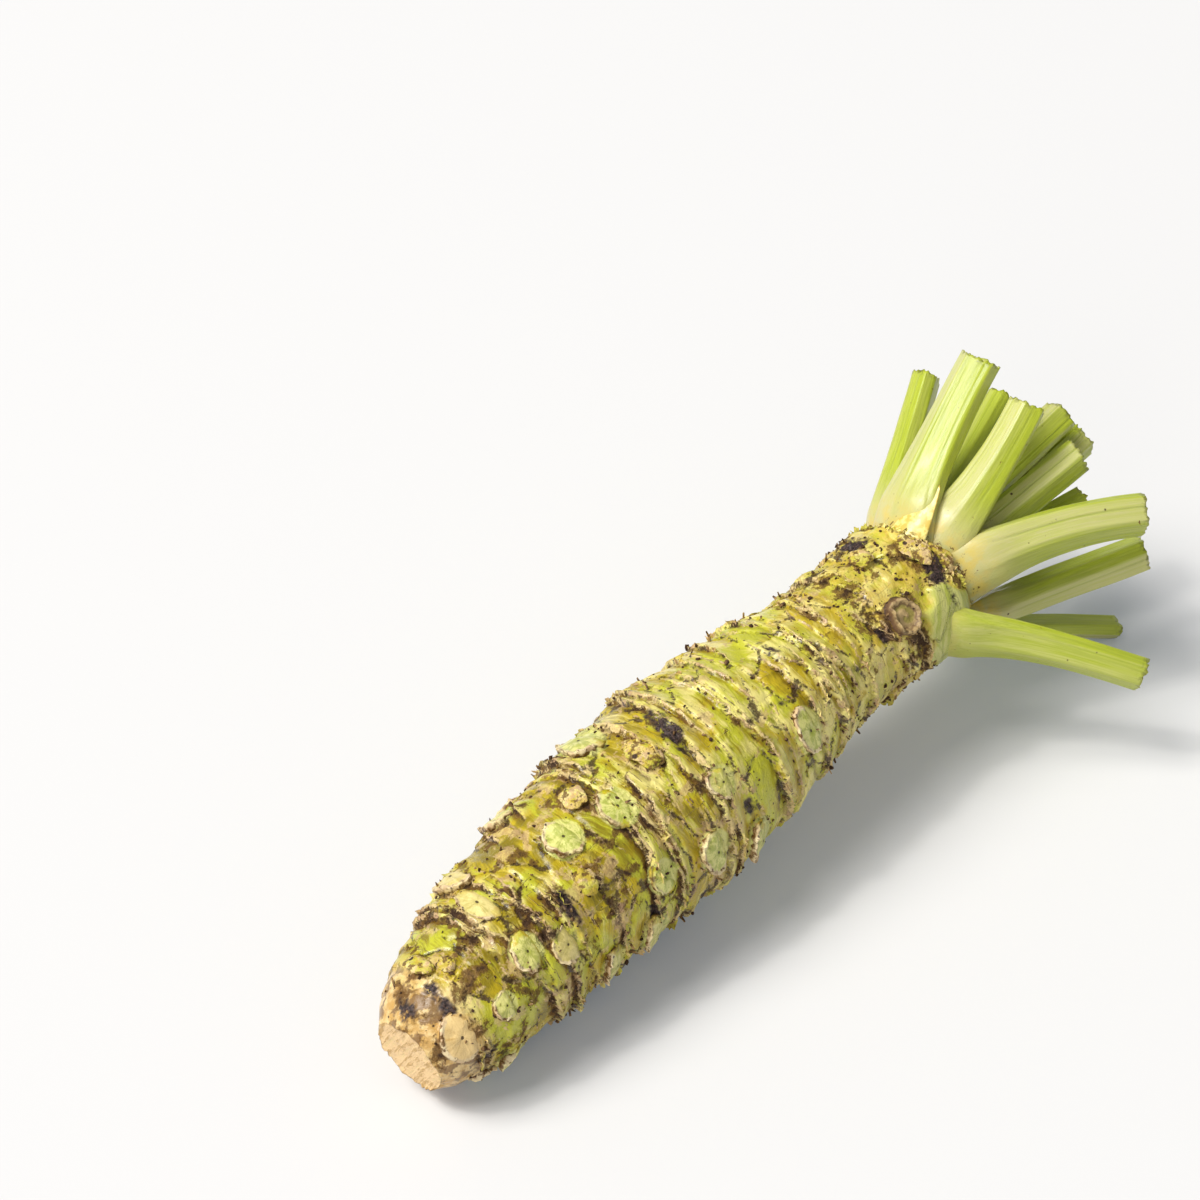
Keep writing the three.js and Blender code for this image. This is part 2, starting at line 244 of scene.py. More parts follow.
def stem_skin(along, angle):
    """Height of the skin over the mean girth, and the marks that its finish follows."""
    shape = np.broadcast(along, angle).shape
    height = np.full(shape, -SKIN_DEPTH)
    behind = np.full(shape, FAR_BEHIND)
    gap = np.full(shape, FAR_GAP)
    step = np.zeros(shape)
    for band in bands:
        edge = np.interp(angle, column_angle, band["edge"])
        rise = np.interp(angle, column_angle, band["rise"])
        past = along - edge
        fall = 1 - np.clip(past / BAND_SLOPE_LENGTH, 0, 1)
        height += rise * ease(past, -0.2, 0.2) * fall * fall
        height += 0.25 * rise * np.exp(-((past - 0.3) / 0.3) ** 2)
        height -= 0.35 * rise * np.exp(-((past + 0.5) / 0.4) ** 2)
        behind = np.where((past > -0.1) & (past < behind) & (rise > 0.2), past, behind)
        nearer = (np.abs(past) < np.abs(gap)) & (rise > 0.15)
        gap = np.where(nearer, past, gap)
        step = np.where(nearer, np.clip(1.3 * rise, 0, 1), step)
    free = ease(along, 1, 10) * (1 - ease(along, 143, 148))
    height *= free
    plate_edge, plate_place, tone, flow = plate_marks(along, angle)
    height += (0.32 * (1 - np.exp(-plate_edge / 0.22)) - 0.24) * ease(along, 4, 12)
    height -= 0.13 * np.clip(plate_place, -3, 3) * ease(plate_edge, 0, 0.25) * free
    folds = np.abs(surface_noise(along, angle, 2.2, 6.1, 4.0))
    height += 0.45 * surface_noise(along, angle, 9.0, 3.1) * ease(along, 2, 12)
    height += 0.30 * surface_noise(along, angle, 4.0, 2.7, 2.2) * ease(along, 1, 8)
    height += (0.26 * folds - 0.06) * free
    rough = ease(surface_noise(along, angle, 7.0, 8.8) - 0.12 * ease(along, 60, 90), 0.08, 0.3)
    height += (0.03 + 0.26 * rough) * surface_noise(along, angle, 1.1, 1.9) * ease(along, 1, 6)
    neck = ease(along, 116, 136) * (1 - ease(along, 147, 151))
    height += neck * 0.8 * surface_noise(along, angle, 3.6, 5.2)

    ring = np.zeros(shape)
    scarred = np.zeros(shape)
    for spot in SCARS:
        distance, a = oval(along, angle, *spot[:4])
        inside = ease(distance, 1.10, 0.90)
        plate = spot[4] * (0.4 - 0.9 * a / spot[3]) - 0.3 + 0.25 * height
        height = height * (1 - inside) + plate * inside
        ring = np.maximum(ring, np.exp(-((distance - 1.15) / 0.16) ** 2) * ease(a / spot[3], 0.2, -0.2))
        scarred = np.maximum(scarred, ease(distance, 1.45, 0.85) * (1 - spot[5]))
        step = step * (1 - inside)
    for spot in KNOBS + [BUD]:
        distance = oval(along, angle, *spot[:4])[0]
        height += 0.35 * spot[4] * ease(distance, 1.5, 0.6)
        ring = np.maximum(ring, np.exp(-((distance - 1.1) / 0.25) ** 2))

    old_leaf = np.zeros(shape)
    for spot in OLD_LEAVES:
        distance = oval(along, angle, *spot)[0]
        patch = ease(distance + 0.35 * surface_noise(along, angle, 4.0, 9.1), 1.05, 0.90)
        old_leaf = np.maximum(old_leaf, patch)
        height = height * (1 - patch) + patch * (0.35 + 0.1 * surface_noise(along, angle, 6.0, 9.9))
    stain = np.zeros(shape)
    uneven = 0.9 * surface_noise(along, angle, 2.4, 4.4, 1.6) + 0.7 * surface_noise(along, angle, 0.9, 8.4)
    for spot in STAINS:
        distance = oval(along, angle, *spot, STAIN_TILT)[0]
        stain = np.maximum(stain, ease(distance + uneven, 1.15, 0.75))
    height += stain * (0.5 * surface_noise(along, angle, 0.8, 3.3) - 0.1)
    marks = {
        "behind": behind, "ring": ring, "stain": stain, "rough": rough,
        "plate_edge": plate_edge, "plate_place": plate_place, "tone": tone, "flow": flow,
        "gap": np.clip(gap, -4, 4), "step": step * free, "scarred": scarred, "old_leaf": old_leaf,
    }
    return height, marks


def stem_radius(along, angle):
    """The stem's girth, a little out of round, and cornered where the knife pared it."""
    free = ease(along, 0, 20) * (1 - ease(along, 125, 146))
    uneven = 1 + free * (0.012 * np.sin(2 * angle + 0.05 * along) + 0.010 * np.sin(3 * angle - 0.07 * along))
    corners = np.abs(np.sin(2.5 * angle + 0.4)) + 0.5 * np.abs(np.sin(4 * angle + 1.9))
    return girth_at(along) * (uneven + 0.05 * (corners - 0.95) * ease(along, 7, 0))


def wrapped_grid(name, rows, columns, copies=1):
    """Grid sheets as one mesh, with the row and the column of each of its vertices."""
    sheet = bmesh.new()
    for _ in range(copies):
        bmesh.ops.create_grid(sheet, x_segments=rows, y_segments=columns, size=0.5)
    mesh = bpy.data.meshes.new(name)
    sheet.to_mesh(mesh)
    sheet.free()
    flat = np.zeros(len(mesh.vertices) * 3)
    mesh.vertices.foreach_get("co", flat)
    flat = flat.reshape(-1, 3)
    row = np.rint((flat[:, 0] + 0.5) * rows).astype(int)
    column = np.rint((flat[:, 1] + 0.5) * columns).astype(int)
    return mesh, row, column


def closed_piece(mesh, points, marks, material):
    """Moves a wrapped grid's vertices to their places, closes its seam and its poles
    and gives it its marks and its material."""
    mesh.vertices.foreach_set("co", np.asarray(points, float).reshape(-1))
    for name, values in marks.items():
        attribute = mesh.attributes.new(name, "FLOAT", "POINT")
        attribute.data.foreach_set("value", np.asarray(values, np.float32))
    shell = bmesh.new()
    shell.from_mesh(mesh)
    bmesh.ops.remove_doubles(shell, verts=shell.verts, dist=1e-6)
    bmesh.ops.recalc_face_normals(shell, faces=shell.faces)
    for face in shell.faces:
        face.smooth = True
    shell.to_mesh(mesh)
    shell.free()
    mesh.materials.append(material)
    piece = bpy.data.objects.new(mesh.name, mesh)
    bpy.context.scene.collection.objects.link(piece)
    return piece


class Finish:
    """A socket of a material. Python's operators on it add the Math nodes."""

    def __init__(self, tree, socket=None):
        self.tree = tree
        self.socket = socket

    def node(self, kind, settings, inputs, outlet=0):
        """Adds a node: its settings first, then its inputs by name or by number."""
        made = self.tree.nodes.new(kind)
        for key, value in settings.items():
            setattr(made, key, value)
        for key, value in inputs.items():
            if isinstance(value, Finish):
                self.tree.links.new(value.socket, made.inputs[key])
            elif isinstance(value, tuple) and made.inputs[key].type == "RGBA":
                made.inputs[key].default_value = (*value, 1)
            else:
                made.inputs[key].default_value = value
        return Finish(self.tree, made.outputs[outlet])

    def math(self, operation, *values):
        return self.node("ShaderNodeMath", {"operation": operation}, dict(enumerate(values)))

    def __add__(self, other):
        return self.math("ADD", self, other)

    def __radd__(self, other):
        return self.math("ADD", other, self)

    def __sub__(self, other):
        return self.math("SUBTRACT", self, other)

    def __rsub__(self, other):
        return self.math("SUBTRACT", other, self)

    def __mul__(self, other):
        return self.math("MULTIPLY", self, other)

    def __rmul__(self, other):
        return self.math("MULTIPLY", other, self)

    def clamp(self):
        return self.node("ShaderNodeClamp", {}, {0: self})

    def either(self, other):
        return self.math("MAXIMUM", self, other)

    def ease(self, low, high):
        """0 at low and 1 at high, smooth between them."""
        return self.node(
            "ShaderNodeMapRange", {"interpolation_type": "SMOOTHSTEP"},
            {"Value": self, "From Min": low, "From Max": high},
        )


def paint(under, over, amount):
    """A colour over another, by an amount from 0 to 1."""
    return amount.node("ShaderNodeMix", {"data_type": "RGBA"}, {0: amount, 6: under, 7: over}, 2)


COAT_ROUGHNESS = 0.18
MM_IN_METRE = 1000


def new_material(name, roughness, specular=0.5, coat=0.0):
    """A material whose other settings are constant, and the finish to start from."""
    material = bpy.data.materials.new(name)
    material.use_nodes = True
    tree = material.node_tree
    surface = tree.nodes["Principled BSDF"]
    surface.inputs["Roughness"].default_value = roughness
    surface.inputs["Specular IOR Level"].default_value = specular
    surface.inputs["Coat Weight"].default_value = coat
    surface.inputs["Coat Roughness"].default_value = COAT_ROUGHNESS
    return material, Finish(tree), surface


def link(finish, surface, name):
    finish.tree.links.new(finish.socket, surface.inputs[name])


def mark(start, name):
    return start.node("ShaderNodeAttribute", {"attribute_name": name}, {}, 2)


def roughen(height, surface, strength, distance):
    """Raises the surface's small relief by a height, to that distance in metres."""
    inputs = {"Strength": strength, "Distance": distance, "Height": height}
    link(height.node("ShaderNodeBump", {}, inputs), surface, "Normal")


def grown_coordinates(start):
    """Object coordinates in millimetres, turned so that X runs along the stem."""
    place = start.node("ShaderNodeTexCoord", {}, {}, 3)
    return place.node(
        "ShaderNodeMapping", {},
        {"Vector": place, "Rotation": (0, LIE_ANGLE, 0), "Scale": (MM_IN_METRE,) * 3},
    )


def lumps(place, size, detail=2.0, rough=0.5):
    """Noise around 0.5, with lumps of that size in millimetres."""
    return place.node(
        "ShaderNodeTexNoise", {},
        {"Vector": place, "Scale": 1 / size, "Detail": detail, "Roughness": rough},
    )


def specks(place, spacing, smallest, largest, share):
    """Round dots: 1 inside a dot, on that share of the cells, sizes in millimetres."""
    inputs = {"Vector": place, "Scale": 1 / spacing}
    distance = place.node("ShaderNodeTexVoronoi", {}, inputs) * spacing
    tint = place.node("ShaderNodeTexVoronoi", {}, inputs, 1)
    chance = tint.node("ShaderNodeSeparateColor", {}, {0: tint})
    size = tint.node("ShaderNodeSeparateColor", {}, {0: tint}, 1)
    radius = (size * (largest - smallest) + smallest) * chance.math("GREATER_THAN", chance, 1 - share)
    return ((radius - distance) * 6.0 + 0.3).clamp() * chance.math("GREATER_THAN", chance, 1 - share)


SKIN_LIME = (0.56, 0.555, 0.030)
SKIN_MUSTARD = (0.56, 0.42, 0.010)
SKIN_PALE = (0.92, 0.80, 0.27)
SKIN_OLIVE = (0.24, 0.180, 0.004)
SKIN_AMBER = (0.17, 0.080, 0.004)
SKIN_YELLOW = (0.70, 0.51, 0.09)
DIRT_AND_SHADE_BROWN = (0.16, 0.074, 0.014)
CREVICE_BROWN = (0.050, 0.020, 0.006)
CORK_TAN = (0.80, 0.60, 0.27)
CORK_PINK = (0.58, 0.37, 0.20)
STAIN_BLACK = (0.024, 0.015, 0.014)
STAIN_PURPLE = (0.10, 0.060, 0.050)
CUT_CREAM = (0.91, 0.64, 0.33)
CUT_FIBRE = (0.56, 0.34, 0.11)
CUT_RIND = (0.42, 0.23, 0.07)
TIP_CREAM = (0.80, 0.59, 0.26)
TIP_TAN = (0.58, 0.34, 0.09)
TIP_BROWN = (0.22, 0.115, 0.036)
DISC_CREAM = (0.86, 0.62, 0.27)
SCAR_PALE = (0.78, 0.76, 0.25)
SCAR_GREEN = (0.37, 0.43, 0.038)
SHEATH_PALE = (0.64, 0.64, 0.20)
SHEATH_GREEN = (0.46, 0.51, 0.07)


def stem_material():
    material, start, surface = new_material("rhizome_skin", 0.4, 0.38)
    place = grown_coordinates(start)
    parts = [place.node("ShaderNodeSeparateXYZ", {}, {0: place}, i) for i in range(3)]
    behind = mark(start, "behind")
    along = mark(start, "along")
    gap = mark(start, "gap")
    step = mark(start, "step")
    rough_skin = mark(start, "rough")
    cut = mark(start, "cut")
    old_leaf = mark(start, "old_leaf")
    tone = mark(start, "tone")
    plate_edge = mark(start, "plate_edge")
    plate_place = mark(start, "plate_place")

    flow = start.node(
        "ShaderNodeCombineXYZ", {}, {0: mark(start, "flow"), 1: parts[1] * 0.13, 2: parts[2] * 0.13}
    )
    fibres = lumps(flow, 0.45, 4.0, 0.6)
    streaks = lumps(flow, 1.5, 3.0, 0.6)
    patches = lumps(place, 9.0, 3.0, 0.55)
    clean = along.ease(50, 95)
    mottle = lumps(place, 1.8, 4.0, 0.65)
    fine = lumps(place, 0.45, 3.0, 0.65)
    broken = lumps(place, 3.2, 4.0, 0.6)

    lime = (patches + (tone - 0.5) * 0.22 + (streaks - 0.5) * 0.3 + clean * 0.055).ease(0.43, 0.59)
    colour = paint(SKIN_MUSTARD, SKIN_LIME, lime)
    olive = (streaks * 0.45 + fibres * 0.2 + patches * 0.45 - behind * 0.010 + clean * 0.06).ease(0.52, 0.38)
    colour = paint(colour, SKIN_OLIVE, olive * 0.9)
    # Painted highlight: pale cream streaks painted over the skin as wet highlights, fewer further behind
    # each band edge.
    glow = streaks * 0.38 + fibres * 0.20 + lumps(place, 6.0, 3.0) * 0.62
    glow = glow + (tone - 0.5) * 0.12 - behind * 0.010
    colour = paint(colour, SKIN_PALE, (glow + clean * 0.08).ease(0.60, 0.74) * 0.85)
    neck = along.ease(108, 134)
    colour = paint(colour, SKIN_YELLOW, neck * (0.20 + mottle.ease(0.4, 0.6) * 0.6))
    tip = (along.ease(15.0, 3.0) + patches * 0.5 - 0.25).ease(0.2, 0.7)
    tip_tone = paint(TIP_TAN, TIP_CREAM, (mottle * 0.6 + patches * 0.4).ease(0.42, 0.58))
    tip_tone = paint(tip_tone, TIP_BROWN, (broken + (mottle - 0.5) * 0.3).ease(0.49, 0.58) * 0.9)
    colour = paint(colour, tip_tone, tip)

    below = gap.ease(-2.4, -0.3) * gap.ease(0.10, -0.05) * step
    above = gap.ease(2.6, 0.2) * gap.ease(-0.05, 0.10) * step
    # Painted shade: the skin just on the tip side of each raised band edge, under the step, is painted
    # amber, more so towards the tip end.
    painted_step_shade = (below * (1.7 - clean * 1.1) * broken.ease(0.36, 0.58)).clamp()
    colour = paint(colour, SKIN_AMBER, painted_step_shade * 0.85)
    # Painted highlight: the raised crest just on the crown side of each band edge is painted pale.
    colour = paint(colour, SKIN_PALE, above * broken.ease(0.64, 0.40) * 0.75)

    on_skin = along.ease(5.0, 12.0) * (1 - cut)
    seam_gap = plate_edge + (fine - 0.5) * 0.5
    ring = mark(start, "ring")
    crust = lumps(place, 5.6, 5.0, 0.65) + ring * 0.07 + rough_skin * 0.03 - clean * 0.055 - cut
    crust_tone = paint(CORK_TAN, CORK_PINK, (mottle + fine * 0.4).ease(0.62, 0.76))
    colour = paint(colour, crust_tone, crust.ease(0.55, 0.60) * on_skin * 0.6)
    dirt = lumps(place, 4.6, 6.0, 0.65) + below * 0.11 + rough_skin * 0.06 + ring * 0.08
    dirt = dirt + seam_gap.ease(0.9, 0.0) * 0.03 * on_skin + along.ease(143.5, 148.0) * 0.08 + neck * 0.055
    dirt = dirt + 0.012 - clean * 0.095 + neck * 0.082 - old_leaf * 0.15 - cut
    colour = paint(colour, DIRT_AND_SHADE_BROWN, dirt.ease(0.60, 0.66) * 0.85)
    colour = paint(colour, CREVICE_BROWN, dirt.ease(0.68, 0.75) * 0.9)

    wobbly = gap + (fine - 0.5) * 0.9 + (mottle - 0.5) * 0.8
    rim = wobbly.ease(-0.12, 0.0) * wobbly.ease(0.42, 0.26) * (step * 1.6).clamp() * broken.ease(0.43, 0.53)
    sooty = lumps(place, 5.0, 5.0, 0.65) - clean * 0.070
    furrow = wobbly.ease(-0.50, -0.30) * wobbly.ease(0.02, -0.10) * (step * 1.4).clamp()
    furrow = furrow * sooty.ease(0.45, 0.54)
    seam_rim = seam_gap.ease(0.28, 0.18) * plate_place.ease(0.4, -0.8)
    seam_rim = seam_rim * lumps(place, 2.6, 3.0).ease(0.50, 0.60)
    seam_line = seam_gap.ease(0.20, 0.06) * lumps(place, 2.2, 4.0).ease(0.47, 0.56)
    flake = (rim.either(seam_rim * 0.9) * on_skin).clamp()
    crack = (furrow.either(seam_line) * on_skin).clamp()
    colour = paint(colour, paint(CORK_TAN, CORK_PINK, lumps(place, 4.0).ease(0.48, 0.62)), flake * 0.9)
    colour = paint(colour, CREVICE_BROWN, crack * 0.9)
    colour = paint(colour, paint(SHEATH_PALE, SHEATH_GREEN, streaks.ease(0.40, 0.62)), old_leaf * 0.95)
    scarred = (mark(start, "scarred") + (mottle - 0.5) * 0.8).ease(0.35, 0.75)
    colour = paint(colour, paint(SCAR_PALE, SCAR_GREEN, mottle.ease(0.46, 0.64) * 0.8), scarred * 0.85)
    stain = mark(start, "stain")
    stain_tone = paint(STAIN_PURPLE, STAIN_BLACK, fine.ease(0.62, 0.44))
    colour = paint(colour, stain_tone, stain * mottle.ease(0.30, 0.44))

    radius = mark(start, "cut_radius")
    grain = start.node(
        "ShaderNodeCombineXYZ", {},
        {0: parts[1] + parts[2] * 0.6, 1: parts[2] * 0.12 - parts[1] * 0.1, 2: 0.0},
    )
    threads = lumps(grain, 1.3, 5.0, 0.75)
    cream = paint(CUT_CREAM, CUT_FIBRE, threads.ease(0.50, 0.58) * 0.85)
    cream = paint(cream, TIP_CREAM, threads.ease(0.46, 0.38) * 0.8)
    cream = paint(cream, CUT_RIND, (radius + (mottle - 0.5) * 0.35).ease(0.93, 1.04) * 0.85)
    colour = paint(colour, cream, cut)

    coarse = specks(place, 2.6, 0.16, 0.38, 0.4) * (below + above + rough_skin * 0.8).ease(0.1, 0.7)
    small = specks(place, 1.5, 0.09, 0.26, 0.40)
    many = specks(place, 1.9, 0.14, 0.36, 0.45) * along.ease(110, 134)
    dots = coarse.either(small).either(many) * (1 - cut * 0.85) * (1 - old_leaf * 0.8)
    colour = paint(colour, CREVICE_BROWN, dots * 0.95)
    link(colour, surface, "Base Color")

    rough = 0.22 + dirt.ease(0.57, 0.66) * 0.40 + flake * 0.15 + fine * 0.20 + cut * 0.20 + dots * 0.3
    rough = rough + stain * 0.2
    link(rough.clamp(), surface, "Roughness")
    link(((1 - dirt.ease(0.57, 0.64) - dots - cut - stain) * 0.35).clamp(), surface, "Coat Weight")
    grit = dirt.ease(0.55, 0.70)
    relief = fibres * 0.35 + streaks * 0.40 + mottle * 0.35 + fine * (0.18 + grit * 0.9) + flake * 0.5
    relief = relief - crack * 0.6 - dots * 0.3 + (threads + broken) * cut * 1.3
    roughen(relief, surface, 0.9, 0.0005)
    return material


stem_stations = np.concatenate([
    np.zeros(ROWS_ON_CUT),
    np.linspace(0.0, 148.5, ROWS_ON_STEM + 1 - ROWS_ON_DOME),
    np.linspace(DOME_FOOT, DOME_TOP, ROWS_ON_DOME),
])
stem_shares = np.concatenate([np.linspace(0, CUT_EDGE_SHARE, ROWS_ON_CUT), np.ones(ROWS_ON_STEM + 1)])
stem_rows = len(stem_stations) - 1
stem_mesh, row, column = wrapped_grid("rhizome_skin", stem_rows, COLUMNS)
stem_along = stem_stations[:, None]
stem_angle = column_angle[None, :]
stem_along, stem_angle = np.broadcast_arrays(stem_along, stem_angle)
skin_height, skin_marks = stem_skin(stem_along, stem_angle)
skin_out = stem_radius(stem_along, stem_angle) + skin_height * ease(stem_along, 157, 149)
skin_out = np.maximum(skin_out, 0) * stem_shares[:, None]
on_cut = np.arange(stem_rows + 1) < ROWS_ON_CUT
cut_dish = 0.12 * surface_noise(skin_out * np.cos(stem_angle), 0 * stem_angle, 2.5, 2.2)
chips = 0.30 * round_noise(rng, 23, stem_angle) + 0.22 * round_noise(rng, 70, stem_angle)
chips = chips * ease(skin_out, 0.8 * GIRTH[0][1], GIRTH[0][1]) * np.exp(-(stem_along / 1.2) ** 2)
along_here = stem_along + chips + np.where(on_cut[:, None], cut_dish * (1 - stem_shares[:, None] ** 4), 0)
skin_points = settle(along_here, skin_out, stem_angle)
skin_marks["along"] = np.broadcast_to(stem_along, skin_out.shape)
skin_marks["cut"] = np.broadcast_to(on_cut[:, None] * 1.0, skin_out.shape)
skin_marks["cut_radius"] = np.broadcast_to(np.where(on_cut, stem_shares, 1)[:, None], skin_out.shape)
skin_values = {name: values[row, column] for name, values in skin_marks.items()}
stem = closed_piece(stem_mesh, skin_points[row, column], skin_values, stem_material())
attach(stem, "root")
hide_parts("rhizome")

# The leaf scars: flat oval plates where leaves were shed, pale green with one vessel
# at the heart and a thin, torn, corky rim. They stand up at the side of the tip.
SCAR_ROWS = 16
SCAR_SEED = 5
SCAR_COLUMNS = 56
RIM_WIDTH = 0.05
SCAR_RIM = (0.88, 0.72, 0.44)


def scar_material():
    material, start, surface = new_material("leaf_scar", 0.5, 0.4, 0.2)
    place = grown_coordinates(start)
    radius = mark(start, "radius")
    swing = start.node(
        "ShaderNodeCombineXYZ", {},
        {0: mark(start, "ray_x"), 1: mark(start, "ray_y"), 2: mark(start, "number")},
    )
    rays = lumps(swing, 0.55, 3.0, 0.6)
    mottle = lumps(place, 1.3, 4.0, 0.6)
    fine = lumps(place, 0.4, 3.0, 0.6)
    green = (rays * 0.40 + mottle * 0.75).ease(0.50, 0.66) * radius.ease(1.02, 0.8)
    colour = paint(SCAR_PALE, SCAR_GREEN, green * 0.75)
    colour = paint(colour, SCAR_GREEN, radius.ease(0.30, 0.12) * 0.6)
    skinned = (radius * 0.9 + (lumps(place, 2.4, 4.0, 0.65) - mark(start, "rim")) * 0.8).ease(0.90, 1.10)
    skin_tone = paint(SKIN_MUSTARD, SKIN_LIME, mottle.ease(0.4, 0.6))
    colour = paint(colour, skin_tone, skinned)
    tanned = mark(start, "tanned")
    disc_tone = paint(DISC_CREAM, TIP_TAN, (rays * 0.7 + mottle * 0.3).ease(0.49, 0.70) * 0.8)
    disc_edge = (radius + fine * 0.05).ease(0.955, 1.0) * tanned.ease(0.8, 1.0)
    colour = paint(colour, paint(disc_tone, CUT_FIBRE, disc_edge * 0.8), tanned)
    dirt = lumps(place, 2.6, 5.0, 0.7) - tanned * 0.07 + radius.ease(0.6, 1.0) * 0.05
    colour = paint(colour, DIRT_AND_SHADE_BROWN, dirt.ease(0.62, 0.69) * 0.8)
    rim = mark(start, "rim") * (radius + fine * 0.2).ease(0.90, 1.0)
    colour = paint(colour, SCAR_RIM, rim * 0.9)
    colour = paint(colour, CORK_PINK, rim * lumps(place, 2.0).ease(0.46, 0.56) * 0.7)
    colour = paint(colour, DIRT_AND_SHADE_BROWN, rim * mottle.ease(0.52, 0.60))
    # Painted shade: the scar's wall below its rim, where the plate drops to the skin, is painted brown.
    under = radius.ease(1.02, 1.07)
    colour = paint(colour, DIRT_AND_SHADE_BROWN, under * mottle.ease(0.36, 0.6))
    heart = radius.ease(0.085, 0.05)
    dots = specks(place, 1.4, 0.14, 0.34, 0.45) * radius.ease(0.76, 0.90)
    pits = specks(place, 1.6, 0.08, 0.20, 0.18)
    colour = paint(colour, CREVICE_BROWN, heart.either(dots).either(pits) * 0.9)
    link(colour, surface, "Base Color")
    link((0.26 + fine * 0.2 + rim * 0.2).clamp(), surface, "Roughness")
    relief = rays * 0.25 + mottle * 0.3 + fine * 0.3 - heart * 0.6
    roughen(relief, surface, 0.8, 0.0005)
    return material


draw = np.random.default_rng(SCAR_SEED)
share_out = np.concatenate([np.linspace(0, 0.90, 10), [0.95, 0.985, 1.0, 1.01, 1.02, 0.96, 0.0]])
share_down = np.concatenate([np.zeros(13), [0.25, 0.7, 1.5, 1.5]])
radius_mark = np.concatenate([share_out[:13], [1.04, 1.08, 1.1, 1.1]])
heading = np.linspace(0, TURN, SCAR_COLUMNS + 1)
scar_mesh, row, column = wrapped_grid("leaf_scars", SCAR_ROWS, SCAR_COLUMNS, len(SCARS))
block = np.arange(len(row)) // ((SCAR_ROWS + 1) * (SCAR_COLUMNS + 1))
scar_points = []
scar_marks = {name: [] for name in ("radius", "ray_x", "ray_y", "number", "tanned", "rim")}
for number, (along, turn, across, length, lift, tanned) in enumerate(SCARS):
    outline = 1.08 + 0.12 * round_noise(draw, 7, heading) + 0.06 * round_noise(draw, 19, heading)
    outline = outline + 0.075 * round_noise(draw, 53, heading)
    outline = outline + 0.8 * (1.04 - outline) * ease(tanned, 0.8, 1.0)
    rimmed = np.clip(0.42 - 0.55 * np.cos(heading) + 0.7 * round_noise(draw, 9, heading), 0, 1)
    torn = rimmed * np.clip(0.7 + 1.1 * round_noise(draw, 48, heading), 0.0, 1.6)
    torn = torn * (1 - 0.6 * ease(tanned, 0.8, 1.0))
    reach = share_out[:, None] * outline
    a = 0.5 * length * reach * np.cos(heading)
    b = 0.5 * across * reach * np.sin(heading)
    here = along + a
    there = math.radians(turn) + b / girth_at(along)
    rays = round_noise(draw, 19, heading) * share_out[:, None] ** 0.7
    wave = surface_noise(here, there, 2.2, 1.0 + number)
    rim = np.exp(-((share_out - 0.965) / RIM_WIDTH) ** 2)[:, None] * torn
    height = lift * (0.4 - 0.9 * a / length) - 0.04 + 0.05 * rays + 0.30 * wave
    height = height + 0.45 * rim * (share_down[:, None] < 0.1) - share_down[:, None]
    height = height - 0.6 * share_out[:, None] ** 6 * (1 - rimmed) * (share_down[:, None] < 0.1)
    height = height - 0.8 * ease(a / length, 0.10, 0.50)
    height = height - 0.16 * np.exp(-(share_out[:, None] / 0.09) ** 2)
    scar_points.append(settle(here, stem_radius(here, there) + height, there))
    for name, value in (
        ("radius", radius_mark[:, None]), ("ray_x", 2.6 * np.cos(heading)), ("ray_y", 2.6 * np.sin(heading)),
        ("number", 5.0 * number), ("tanned", tanned), ("rim", rimmed),
    ):
        scar_marks[name].append(np.broadcast_to(value, height.shape))
scar_points = np.stack(scar_points)[block, row, column]
scar_marks = {name: np.stack(values)[block, row, column] for name, values in scar_marks.items()}
scars = closed_piece(scar_mesh, scar_points, scar_marks, scar_material())
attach(scars, "root")


def finished(name, sheet, material, smooth):
    """Turns a sheet of separate small shapes into one piece."""
    bmesh.ops.recalc_face_normals(sheet, faces=sheet.faces)
    for face in sheet.faces:
        face.smooth = smooth
    mesh = bpy.data.meshes.new(name)
    sheet.to_mesh(mesh)
    sheet.free()
    mesh.materials.append(material)
    piece = bpy.data.objects.new(name, mesh)
    bpy.context.scene.collection.objects.link(piece)
    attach(piece, "root")
    return piece


def skin_at(along, turn):
    """Distance of the finished skin from the axis at a place on the stem."""
    row = ROWS_ON_CUT + np.clip(np.searchsorted(stem_stations[ROWS_ON_CUT:], along), 0, ROWS_ON_STEM)
    return float(skin_out[row, round(turn % 360 / 360 * COLUMNS) % COLUMNS])


# The knobs: side buds that dried before they grew, each a wrinkled, brown lump about
# a small hollow, half sunk in the skin.
def knob_material():
    material, start, surface = new_material("dried_bud", 0.6)
    place = grown_coordinates(start)
    mottle = lumps(place, 1.5, 4.0, 0.65)
    fine = lumps(place, 0.5, 3.0, 0.6)
    colour = paint(SKIN_PALE, CORK_TAN, lumps(place, 3.0).ease(0.40, 0.56))
    colour = paint(colour, SKIN_YELLOW, lumps(place, 2.4, 3.0).ease(0.46, 0.58) * 0.8)
    colour = paint(colour, CORK_PINK, mottle.ease(0.50, 0.60) * 0.7)
    colour = paint(colour, SKIN_MUSTARD, lumps(place, 2.0, 3.0).ease(0.50, 0.58) * 0.8)
    colour = paint(colour, SKIN_LIME, lumps(place, 2.8, 3.0).ease(0.54, 0.60) * 0.6)
    colour = paint(colour, DIRT_AND_SHADE_BROWN, mottle.ease(0.50, 0.42) * 0.9)
    pits = specks(place, 2.0, 0.25, 0.55, 0.5)
    colour = paint(colour, CREVICE_BROWN, pits.either(fine.ease(0.36, 0.28)))
    link(colour, surface, "Base Color")
    relief = mottle * 0.8 + fine * 0.4 - pits * 0.4
    roughen(relief, surface, 0.9, 0.0006)
    return material


